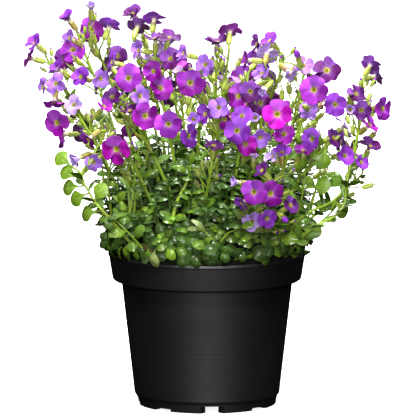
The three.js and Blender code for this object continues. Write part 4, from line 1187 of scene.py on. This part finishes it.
def add_core(shape):
    """The dark dome under the leaves, uneven like crowded shoots; its near-black colour is painted
    shade, standing in for the shoots in shadow there
    """
    outline = mat_outline(CORE_RINGS - 1)
    angles = round_angles(CORE_SIDES)
    foot = SOIL_TOP - 1
    rings = [level_ring(CORE_FOOT_RADIUS, foot, CORE_SIDES)]
    for i, (radius, height) in enumerate(outline):
        bump = 1.1 * np.sin(angles * 19 + i * 2.1) + 0.9 * np.sin(angles * 31 - i * 1.3)
        away = np.maximum(radius - CORE_INSIDE + bump * min(1, radius / 30), 0.4)
        heights = height - CORE_BELOW + 0.8 * np.cos(angles * 23 + i * 1.7)
        rings.append(level_ring(away, heights, CORE_SIDES))
    ends = [[0, 0, foot], [0, 0, outline[-1][1] - CORE_TOP_BELOW]]
    add_closed(shape, rings, ends, MAT_CORE, tint=PAINTED_SHADE_CORE_TINT)


def add_shoots(shape):
    """Leafy shoots that stand out of the mat's upper part"""
    for i in range(SHOOTS):
        share = SHOOTS_FROM + (1 - SHOOTS_FROM) * ((i + 0.5) / SHOOTS)
        place, normal = mat_place(share, i * GOLDEN_ANGLE + 0.7)
        foot = place - normal * SHOOT_DEPTH
        climb = unit(UP + normal * 0.5 + between(-0.3, 0.3, 3))
        top = foot + climb * between(*SHOOT_LENGTHS)
        course = bend(foot, normal * 4, climb * 4, top, SHOOT_LEAVES)
        radii = np.linspace(0.9, 0.5, SHOOT_LEAVES)
        add_tube(shape, course, radii, FINE_SIDES, MAT_STEM, GREEN["dark"] * between(0.8, 2))
        tint = GREEN["middle"] if chance.random() < 0.18 else GREEN["mat"]
        tint = tint * between(0.55, 1.2)
        for k in range(SHOOT_LEAVES):
            base = course[min(SHOOT_LEAVES - 1, 1 + k)]
            turn = GOLDEN_ANGLE * k + between(0, 1)
            away = unit(heading(turn, 0.1 + 0.13 * k))
            size = between(9.5, 13) * (1 - 0.07 * k)
            light = between(0.8, 1.25) * (1 + 0.12 * max(0, k - 4))
            add_leaf(
                shape, MAT_LEAF, base, base + away * size, size * between(0.62, 0.84),
                unit(UP - away * 0.2 + normal * 0.5), tint * light, arch=0.14, bulge=0.28, neck=0.22,
                curl=between(0.1, 0.35), small=True)


def on_front(across, seen, proud):
    """The place on the mat's or the pot's front that is seen there, standing proud of it"""
    heights = [FRONT_FOOT, POT_HEIGHT, *[height for _, height in MAT_OUTLINE]]
    radii = [RIM_RADIUS - FRONT_FOOT_INSIDE, RIM_RADIUS, *[radius for radius, _ in MAT_OUTLINE]]
    z = seen
    for _ in range(12):
        radius = np.interp(z, heights, radii) + proud
        depth = -math.sqrt(max(radius ** 2 - across ** 2, 9.0))
        z = seen - depth * VIEW_SLOPE
    return np.array([across, depth, z])


def add_leafy_stem(shape, course, foot, top, radius, leaves):
    """A light stem in front of the mat, with leaves that face the viewer"""
    depths = np.linspace(foot, top, len(course))
    path = through([
        (across, depth, seen - depth * VIEW_SLOPE)
        for (across, seen), depth in zip(course, depths)], LEAFY_STEPS)
    tint = GREEN["stem"] * between(0.85, 1.1)
    radii = stem_radii(len(path), radius, radius * 0.5)
    add_tube(shape, path, radii, STEM_SIDES, MAT_STEM, tint, STEM_RIDGE)
    for share, across, seen, width in leaves:
        base = path[min(int(share * LEAFY_STEPS), LEAFY_STEPS - 1)]
        depth = base[1] + between(-8, 3)
        tip = np.array([across, depth, seen - depth * VIEW_SLOPE])
        face = unit(TO_VIEWER * between(0.6, 1.2) + UP * 0.7)
        kind = GREEN["bright"] if chance.random() < 0.6 else GREEN["middle"]
        if width < PALE_LEAF_BELOW:
            kind = GREEN["pale"]
        add_leaf(
            shape, MAT_LEAF, base, tip, width, face, kind * between(0.7, 1.15), arch=0.12,
            bulge=0.2, neck=0.2, curl=between(0.05, 0.25))


def add_loose(shape):
    """What stands out on the plant's front: leafy stems, fresh rosettes, leaves over the rim"""
    for stem in LEAFY_STEMS:
        add_leafy_stem(shape, *stem)
    for across, seen, size in FRESH:
        place = on_front(across, seen, -2.0)
        axis = unit(np.array([place[0], place[1], 0]) / 60 + UP * 0.9)
        add_rosette(shape, place, axis, size, FRESH_LEAVES, fresh=1.1)
    for base, tip, width, kind in HANGING_LEAVES:
        start = on_front(*base, 1.0)
        face = unit(np.array([start[0], start[1], 0]) + UP * 25)
        add_leaf(
            shape, MAT_LEAF, start, on_front(*tip, 3.2), width, face,
            GREEN[kind] * between(0.8, 1.15), arch=0.16, bulge=0.16,
            neck=0.16 if kind == "pale" else 0.3, curl=0.12)
    for course, radius in LOOSE_STEMS:
        path = through([on_front(across, seen, 4.0) for across, seen in course], LOOSE_STEPS)
        radii = np.linspace(radius, radius * 0.8, len(path))
        add_tube(shape, path, radii, STEM_SIDES, MAT_STEM, GREEN["pale"], 0.04)


def rounded(corners, steps=5):
    """The outline of the corners, given as (radius, height, rounding), with rounded edges"""
    outline = [np.array(corner[:2], float) for corner in corners]
    points = []
    for i, corner in enumerate(outline):
        size = corners[i][2]
        before, after = outline[i - 1] - corner, outline[(i + 1) % len(outline)] - corner
        one = corner + unit(before) * min(size, np.linalg.norm(before) * 0.45)
        two = corner + unit(after) * min(size, np.linalg.norm(after) * 0.45)
        for t in np.linspace(0, 1, steps):
            points.append((1 - t) ** 2 * one + 2 * (1 - t) * t * corner + t * t * two)
    return points


def turned_mesh(name, outline, sides):
    """A closed mesh of the outline (radius, height) turned round the vertical axis"""
    shape = Shape()
    rings = [level_ring(radius, height, sides) for radius, height in outline]
    add_closed(shape, rings, [[0, 0, outline[0][1]], [0, 0, outline[-1][1]]], 0)
    return shape.build(name, [])


def prism(name, outline, low, high):
    """A closed upright prism of an outline on the ground plane"""
    count = len(outline)
    mesh = bpy.data.meshes.new(name)
    points = [(x * MM, y * MM, z * MM) for z in (low, high) for x, y in outline]
    faces = [list(range(count))[::-1], [count + k for k in range(count)]]
    faces += [[k, (k + 1) % count, count + (k + 1) % count, count + k] for k in range(count)]
    mesh.from_pydata(points, [], faces)
    mesh.update()
    return put_in(name, mesh)


def pot_outline():
    """The shell's outline: up the foot and the wall, round the rim and down the inside"""
    band_foot = POT_HEIGHT - BAND_HEIGHT
    ledge = band_foot + WALL
    inner_foot = FOOT_RADIUS - FOOT_RING
    return rounded([
        (inner_foot, FOOT_HEIGHT, 0.8), (inner_foot, 0, 0.6), (FOOT_RADIUS, 0, 0.5),
        (FOOT_RADIUS + FOOT_FLARE, FOOT_HEIGHT + 0.6, 0.3),
        (WALL_FOOT_RADIUS - 0.5, FOOT_HEIGHT + 0.9, 0.4),
        (WALL_FOOT_RADIUS, FOOT_HEIGHT + FOOT_STEP, 0.7), (SHOULDER_RADIUS, band_foot, 0.5),
        (BAND_FOOT_RADIUS, band_foot, 1.1), (RIM_RADIUS - 0.5, POT_HEIGHT - 2.2, 0.3),
        (RIM_RADIUS, POT_HEIGHT - 1.9, 0.25), (RIM_RADIUS, POT_HEIGHT, 0.5),
        (RIM_RADIUS - WALL, POT_HEIGHT, 0.4), (BAND_FOOT_RADIUS - WALL, ledge, 0.8),
        (SHOULDER_RADIUS - WALL, ledge, 0.8), (WALL_FOOT_RADIUS - WALL, FOOT_HEIGHT + FLOOR, 1.0)])


def slot_cutter(i, angle):
    """The body that cuts one slot into the foot; its mouth widens in a curve"""
    width, height, widening = SLOTS[i % 2]
    half = width / 2
    side = [(FOOT_RADIUS - 2 * FOOT_RING, half)]
    for t in np.linspace(0, math.pi / 2, SLOT_STEPS):
        share = 1 - math.cos(t)
        side.append((
            FOOT_RADIUS - FOOT_RING + 0.6 + SLOT_FLARE_REACH * share, half + widening * share ** 1.4))
    side.append((FOOT_RADIUS + SLOT_FLARE_REACH, half + widening))
    outline = [(x, -y) for x, y in side] + side[::-1]
    c, s = math.cos(angle), math.sin(angle)
    return prism(f"slot_{i}", [(x * c - y * s, x * s + y * c) for x, y in outline], -4, height)


def drain_cutter(i, angle):
    """The body that cuts one round drain hole into the floor"""
    x, y = DRAIN_CIRCLE * math.cos(angle), DRAIN_CIRCLE * math.sin(angle)
    ring = [
        (x + DRAIN_RADIUS * math.cos(t), y + DRAIN_RADIUS * math.sin(t))
        for t in round_angles(DRAIN_SIDES)]
    return prism(f"drain_{i}", ring, FOOT_HEIGHT - 3, FOOT_HEIGHT + 3 + FLOOR)


def cut_away(blank, cutters):
    """The blank's mesh without the cutters' bodies; the blank and the cutters are removed"""
    for cutter in cutters:
        cut = blank.modifiers.new(cutter.name, "BOOLEAN")
        cut.operation = "DIFFERENCE"
        cut.solver = "EXACT"
        cut.object = cutter
    bpy.context.view_layer.update()
    graph = bpy.context.evaluated_depsgraph_get()
    mesh = bpy.data.meshes.new_from_object(blank.evaluated_get(graph))
    for done in (*cutters, blank):
        bpy.data.objects.remove(done)
    return mesh


def make_pot(material):
    """The pot's shell with rounded edges, foot slots and drain holes"""
    blank = turned_mesh("pot_blank", pot_outline(), POT_SIDES)
    cutters = []
    for i in range(DRAINS):
        angle = i / DRAINS * 2 * math.pi - math.pi / 2 + math.radians(SLOT_TURN)
        cutters += [slot_cutter(i, angle), drain_cutter(i, angle)]
    mesh = cut_away(blank, cutters)
    mesh.materials.clear()
    mesh.materials.append(material)
    mesh.polygons.foreach_set("use_smooth", np.ones(len(mesh.polygons), bool))
    mesh.set_sharp_from_angle(angle=math.radians(POT_SHARP_ANGLE))
    pot = put_in("pot_shell", mesh)
    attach(pot, "root")
    return pot


def add_crumb(shape):
    """A crumb of soil near the wall, or now and then a white one"""
    angle = between(0, 2 * math.pi)
    radius = CRUMB_REACH * math.sqrt(between(0.55, 1))
    size = between(*CRUMB_SIZES)
    place = heading(angle) * radius + UP * (SOIL_TOP + size * 0.3)
    turn = flower_frame(facing(between(0, 360), between(-60, 60)), between(0, 90))
    light = between(0.6, 1.7) if chance.random() < DARK_CRUMBS else WHITE_CRUMB
    add_blob(
        shape, place, (size, size * between(0.6, 1), size * between(0.5, 1.3)), turn, 0,
        (light, light, light), sides=6, rings=3)


def make_soil(material):
    """The soil that fills the pot, with an uneven top and crumbs on it"""
    shape = Shape()
    angles = round_angles(SOIL_SIDES)
    top = SOIL_TOP - SOIL_SINK
    rings = [level_ring(radius, height, SOIL_SIDES) for radius, height in SOIL_WALL]
    for i in range(SOIL_RINGS)[::-1]:
        radius = SOIL_MIDDLE_RADIUS + (SOIL_RADIUS - SOIL_MIDDLE_RADIUS) * i / (SOIL_RINGS - 1)
        lumps = 0.8 * np.sin(angles * 17 + i) * np.cos(i * 1.9) + 0.5 * np.sin(angles * 29 - 2.3 * i)
        rings.append(level_ring(radius, top + lumps * min(1, radius / 12), SOIL_SIDES))
    add_closed(shape, rings, [[0, 0, SOIL_WALL[0][1]], [0, 0, top]], 0)
    for _ in range(CRUMBS):
        add_crumb(shape)
    return shape.build("potting_soil", [material])


class Nodes:
    """A material's nodes, made with few words"""

    def __init__(self, name, **sockets):
        self.material = bpy.data.materials.new(name)
        self.material.use_nodes = True
        self.tree = self.material.node_tree
        self.shader = self.tree.nodes["Principled BSDF"]
        for socket, value in sockets.items():
            self.shader.inputs[socket.replace("_", " ")].default_value = value

    def node(self, kind, inputs=(), **settings):
        """A new node, whose inputs are linked to sockets or set to values"""
        made = self.tree.nodes.new(f"ShaderNode{kind}")
        for key, value in settings.items():
            setattr(made, key, value)
        for key, value in dict(inputs).items():
            if isinstance(value, bpy.types.NodeSocket):
                self.tree.links.new(value, made.inputs[key])
            else:
                made.inputs[key].default_value = value
        return made

    def math(self, operation, *values):
        return self.node("Math", dict(enumerate(values)), operation=operation).outputs[0]

    def times(self, one, two):
        return self.math("MULTIPLY", one, two)

    def plus(self, one, two):
        return self.math("ADD", one, two)

    def wave(self, value):
        """The size of the value's sine: 0 along thin lines, up to 1 between them"""
        return self.math("ABSOLUTE", self.math("SINE", value))

    def thin_lines(self, value, sharpness):
        """1 along thin lines and 0 between them"""
        return self.math("POWER", self.math("SUBTRACT", 1, self.wave(value)), sharpness)

    def fade(self, value, low, high):
        """0 at low and 1 at high, smoothly"""
        return self.node(
            "MapRange", {"Value": value, "From Min": low, "From Max": high},
            interpolation_type="SMOOTHSTEP").outputs["Result"]

    def spread(self, value, low, high, to_low, to_high):
        """The value between low and high, brought between two others"""
        return self.node("MapRange", {
            "Value": value, "From Min": low, "From Max": high, "To Min": to_low,
            "To Max": to_high}).outputs["Result"]

    def mix(self, share, one, two, blend="MIX"):
        """The first colour, which gives way to the second by the share"""
        one, two = (
            value if isinstance(value, bpy.types.NodeSocket) else (*value, 1) for value in (one, two))
        return self.node(
            "Mix", {0: share, 6: one, 7: two}, data_type="RGBA", blend_type=blend).outputs[2]

    def product(self, one, two):
        return self.mix(1.0, one, two, "MULTIPLY")

    def tint(self):
        """The colour that each point of the piece carries"""
        return self.node("Attribute", attribute_name="tint").outputs["Color"]

    def place(self):
        """Across, along and upper side, from the piece's own points"""
        place = self.node("Attribute", attribute_name="place").outputs["Vector"]
        return self.node("SeparateXYZ", {0: place}).outputs

    def position(self):
        return self.node("TexCoord").outputs["Object"]

    def vector(self, x, y, z):
        return self.node("CombineXYZ", {0: x, 1: y, 2: z}).outputs[0]

    def noise(self, scale, detail=2.0, vector=None, rough=0.5):
        """Soft noise over the piece's own space, or over the given vector"""
        space = self.position() if vector is None else vector
        return self.node("TexNoise", {
            "Scale": scale, "Detail": detail, "Roughness": rough, "Vector": space}).outputs["Fac"]

    def link(self, value, socket):
        self.tree.links.new(value, self.shader.inputs[socket])

    def finished(self, colour, relief, strength, distance):
        """The material with this colour and a fine relief"""
        made = self.node("Bump", {"Height": relief, "Strength": strength, "Distance": distance})
        self.link(colour, "Base Color")
        self.link(made.outputs[0], "Normal")
        return self.material


def petal_material():
    """Fine darker veins, a paler claw and a dull yellow eye"""
    m = Nodes("petal", Roughness=0.62, Specular_IOR_Level=0.3)
    across, along, upper = m.place()
    warp = m.noise(3.0, 2.0, m.vector(m.times(across, 2), m.times(along, 1.5), upper))
    vein = m.thin_lines(m.plus(m.times(across, 21), m.times(warp, 5)), 5)
    vein = m.times(vein, m.fade(along, 1.0, 0.35))
    broad = m.fade(m.noise(120), 0.35, 0.7)
    colour = m.mix(m.times(broad, 0.18), m.tint(), (0.2, 0.08, 0.6))
    colour = m.mix(m.fade(along, 0.5, 0.3), colour, m.mix(0.12, colour, (0.9, 0.72, 0.9)))
    colour = m.mix(m.times(vein, 0.55), colour, m.product(colour, (0.5, 0.24, 0.56)))
    rib = m.fade(m.math("ABSOLUTE", across), 0.09, 0.0)
    colour = m.mix(m.times(rib, 0.3), colour, m.product(colour, (0.55, 0.4, 0.7)))
    colour = m.mix(m.fade(along, 0.31, 0.24), colour, (0.52, 0.5, 0.12))
    colour = m.mix(upper, m.mix(0.08, colour, (0.42, 0.34, 0.6)), colour)
    return m.finished(colour, m.plus(m.times(vein, 0.7), m.noise(900)), 0.35, 0.0002)


def claw_material():
    """The claws round the mouth of the tube, with darker lines along them"""
    m = Nodes("petal_claws", Roughness=0.5, Sheen_Weight=0.2)
    across, along, _ = m.place()
    pale = m.mix(0.45, m.tint(), (0.85, 0.8, 0.62))
    colour = m.mix(m.fade(along, 0.6, 1.0), (0.72, 0.72, 0.36), pale)
    lines = m.fade(m.wave(m.times(across, 12.566)), 0.3, 0.0)
    colour = m.mix(m.times(lines, 0.3), colour, (0.35, 0.4, 0.12))
    return m.finished(colour, m.noise(700), 0.3, 0.0002)


def anther_material():
    """Pollen in grains of two yellows"""
    m = Nodes("anther", Roughness=0.7)
    spots = m.noise(1800, 3.0)
    colour = m.mix(m.fade(spots, 0.35, 0.7), (0.42, 0.36, 0.02), (0.8, 0.72, 0.08))
    return m.finished(colour, spots, 0.5, 0.0002)


def calyx_material():
    """Green sepals with pale seams and a reddish flush near their tips"""
    m = Nodes("calyx", Roughness=0.5, Sheen_Weight=0.1, Sheen_Roughness=0.4)
    tint = m.tint()
    across, along, _ = m.place()
    seam = m.wave(m.plus(m.times(across, 6.283), 1.5708))
    pale = m.mix(0.55, tint, (0.75, 0.78, 0.45))
    colour = m.mix(m.fade(seam, 0.55, 0.05), m.mix(0.25, tint, (0.1, 0.2, 0.03)), pale)
    flush = m.times(m.fade(m.noise(260), 0.5, 0.7), m.fade(along, 0.6, 1.0))
    colour = m.mix(flush, colour, (0.3, 0.12, 0.2))
    return m.finished(colour, m.plus(seam, m.noise(900, 3.0)), 0.4, 0.0002)


def stem_material():
    """Light green with streaks along it, brownish and pale in places"""
    m = Nodes("stem", Roughness=0.45, Sheen_Weight=0.1, Sheen_Roughness=0.4)
    tint = m.tint()
    across, along, _ = m.place()
    streak = m.noise(1.0, 3.0, m.vector(m.times(across, 9), m.times(along, 5), 0))
    colour = m.mix(m.fade(streak, 0.4, 0.62), m.product(tint, (0.6, 0.72, 0.45)), tint)
    flush = m.fade(m.noise(45), 0.55, 0.72)
    colour = m.mix(m.times(flush, 0.35), colour, (0.22, 0.1, 0.06))
    light = m.fade(m.noise(160), 0.5, 0.75)
    colour = m.mix(m.times(light, 0.3), colour, (0.62, 0.7, 0.4))
    return m.finished(colour, m.plus(streak, m.noise(1200)), 0.35, 0.0003)


def leaf_material(name, roughness):
    """Mottled green with a pale midrib and side veins, paler at the foot and below"""
    m = Nodes(name, Roughness=roughness, Specular_IOR_Level=0.7)
    tint = m.tint()
    across, along, upper = m.place()
    flank = m.math("ABSOLUTE", across)
    mottle = m.noise(330, 3.0)
    colour = m.mix(m.fade(mottle, 0.35, 0.68), m.product(tint, (0.62, 0.7, 0.55)), tint)
    ribs = m.thin_lines(m.math("SUBTRACT", m.times(along, 26), m.times(flank, 9)), 4)
    ribs = m.times(ribs, m.fade(flank, 1.0, 0.2))
    midrib = m.fade(flank, 0.11, 0.02)
    vein = m.math("MAXIMUM", m.times(ribs, 0.2), m.times(midrib, 0.45))
    colour = m.mix(vein, colour, m.mix(0.3, tint, (0.5, 0.62, 0.16)))
    colour = m.mix(m.fade(along, 0.3, 0.05), colour, m.mix(0.2, colour, (0.4, 0.5, 0.1)))
    colour = m.mix(upper, m.mix(0.25, colour, (0.22, 0.34, 0.12)), colour)
    m.link(m.spread(mottle, 0.3, 0.7, roughness - 0.06, roughness + 0.08), "Roughness")
    relief = m.math("SUBTRACT", m.noise(300), m.times(vein, 1.6))
    return m.finished(colour, relief, 0.5, 0.0006)


def painted_shade_core_material():
    """Nearly black green: painted shade, for the shadow deep under the leaves"""
    m = Nodes("mat_core", Roughness=0.9)
    lumps = m.noise(260, 4.0)
    colour = m.mix(m.fade(lumps, 0.35, 0.7), (0.002, 0.003, 0.0015), (0.01, 0.016, 0.005))
    return m.finished(colour, lumps, 0.9, 0.002)


def soil_material():
    """Dark brown grain"""
    m = Nodes("potting_soil", Roughness=0.95)
    grain = m.noise(380, 5.0, rough=0.65)
    colour = m.mix(m.fade(grain, 0.3, 0.7), (0.012, 0.008, 0.005), (0.07, 0.042, 0.024))
    return m.finished(m.product(colour, m.tint()), grain, 0.9, 0.0015)


def pot_material():
    """Black plastic with faint rings round it and a few scuffs"""
    m = Nodes(
        "pot_plastic", Roughness=0.5, Specular_IOR_Level=1.0, Coat_Weight=1.0, Coat_Roughness=0.5,
        Coat_IOR=1.75)
    x, y, z = m.node("SeparateXYZ", {0: m.position()}).outputs
    low = m.noise(22, 3.0)
    rings = m.noise(2.0, 3.0, m.vector(m.times(x, 6), m.times(y, 6), m.times(z, 420)))
    colour = m.mix(m.fade(low, 0.35, 0.7), (0.001, 0.001, 0.0011), (0.0025, 0.0025, 0.0027))
    scuffed = m.fade(m.noise(70, 4.0, rough=0.7), 0.58, 0.72)
    colour = m.mix(m.times(scuffed, 0.35), colour, (0.01, 0.01, 0.0103))
    m.link(m.spread(m.plus(low, m.times(rings, 0.5)), 0.4, 1.1, 0.44, 0.56), "Roughness")
    return m.finished(colour, m.plus(m.times(m.noise(1400, 3.0), 0.4), rings), 0.22, 0.0003)


def floor_material():
    """White paper that glows a little, so that it stays white in the picture"""
    m = Nodes("studio_floor", Roughness=0.9, Emission_Color=(1, 1, 1, 1), Emission_Strength=0.75)
    m.link(m.mix(m.fade(m.noise(3), 0.3, 0.7), (0.86, 0.86, 0.86), (0.9, 0.9, 0.9)), "Base Color")
    return m.material


def racemes_by_node():
    """The racemes of each spray node of the model: the node nearest to a raceme's leader"""
    names = [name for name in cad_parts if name.startswith("spray_")]
    corners = [np.array([v.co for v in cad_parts[name].data.vertices]) / MM for name in names]
    owner = np.concatenate([np.full(len(points), i) for i, points in enumerate(corners)])
    corners = np.concatenate(corners)
    held = {}
    for raceme in lay_out():
        closest = int(np.argmin(((corners - raceme.blooms[0].centre) ** 2).sum(1)))
        held.setdefault(names[owner[closest]], []).append(raceme)
    return held


def make_plant(stem):
    """One piece for each spray node of the model, with the racemes that grow in it"""
    materials = [
        petal_material(), claw_material(), anther_material(), calyx_material(), stem,
        leaf_material("stem_leaf", 0.4)]
    for name, group in sorted(racemes_by_node().items()):
        shape = Shape()
        for raceme in group:
            add_raceme(shape, raceme)
        piece = shape.build(name.replace("spray", "flower_spray"), materials)
        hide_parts(name)


def make_mat(stem):
    """The mat in parts, and the shoots and loose leaves that stand out of it"""
    materials = [leaf_material("mat_leaf", 0.2), painted_shade_core_material(), stem]
    shapes = [Shape() for _ in range(MAT_PARTS)]
    add_mat(shapes)
    add_core(shapes[0])
    for i, shape in enumerate(shapes):
        mat = shape.build(f"leaf_mat_{i + 1}", materials)
        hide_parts("leaf_cushion")
    shape = Shape()
    add_shoots(shape)
    add_loose(shape)
    shoots = shape.build("leafy_shoots", materials)


def make_camera():
    """The camera, which looks a little down at the plant from the front"""
    camera = bpy.data.cameras.new("camera")
    camera.sensor_width = SENSOR
    camera.lens = SENSOR * CAMERA_DISTANCE / PICTURE_WIDTH
    camera.clip_end = CAMERA_SIGHT
    holder = put_in("camera", camera)
    tilt = math.radians(VIEW_TILT)
    course = Vector((0, -math.cos(tilt), math.sin(tilt)))
    holder.location = Vector(AIM) * MM + course * CAMERA_DISTANCE * MM
    holder.rotation_euler = (math.pi / 2 - tilt, 0, 0)
    bpy.context.scene.camera = holder


def make_lamp(name, place, size, power):
    """A soft rectangular lamp that shines at the plant"""
    light = bpy.data.lights.new(name, "AREA")
    light.shape = "RECTANGLE"
    light.size, light.size_y = size
    light.energy = power
    lit = put_in(name, light)
    lit.location = place
    lit.rotation_euler = (Vector(LAMP_AIM) - Vector(place)).to_track_quat("-Z", "Y").to_euler()


def make_world():
    """A faint even light from all sides, which isn't seen in the gloss"""
    world = bpy.data.worlds.new("studio")
    world.use_nodes = True
    background = world.node_tree.nodes["Background"]
    background.inputs["Color"].default_value = (1, 1, 1, 1)
    background.inputs["Strength"].default_value = WORLD_STRENGTH
    world.cycles_visibility.glossy = False
    bpy.context.scene.world = world


def make_floor():
    """The white ground, which throws no light on the pot"""
    mesh = bpy.data.meshes.new("floor")
    corners = [(-1, -1), (1, -1), (1, 1), (-1, 1)]
    mesh.from_pydata([(x * FLOOR_EDGE, y * FLOOR_EDGE, 0) for x, y in corners], [], [[0, 1, 2, 3]])
    mesh.materials.append(floor_material())
    floor = put_in("floor", mesh)
    floor.location = (0, 0, -FLOOR_DROP)
    floor.visible_glossy = False
    floor.visible_diffuse = False


def make_studio():
    """Camera, lamps, ground and the picture's view setting"""
    make_camera()
    for lamp in LAMPS:
        make_lamp(*lamp)
    make_world()
    make_floor()
    view = bpy.context.scene.view_settings
    view.view_transform = "Standard"
    view.gamma = VIEW_GAMMA
    view.exposure = VIEW_EXPOSURE


make_studio()
pot = make_pot(pot_material())
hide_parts("pot")
soil = make_soil(soil_material())
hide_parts("soil")
stem = stem_material()
make_plant(stem)
make_mat(stem)
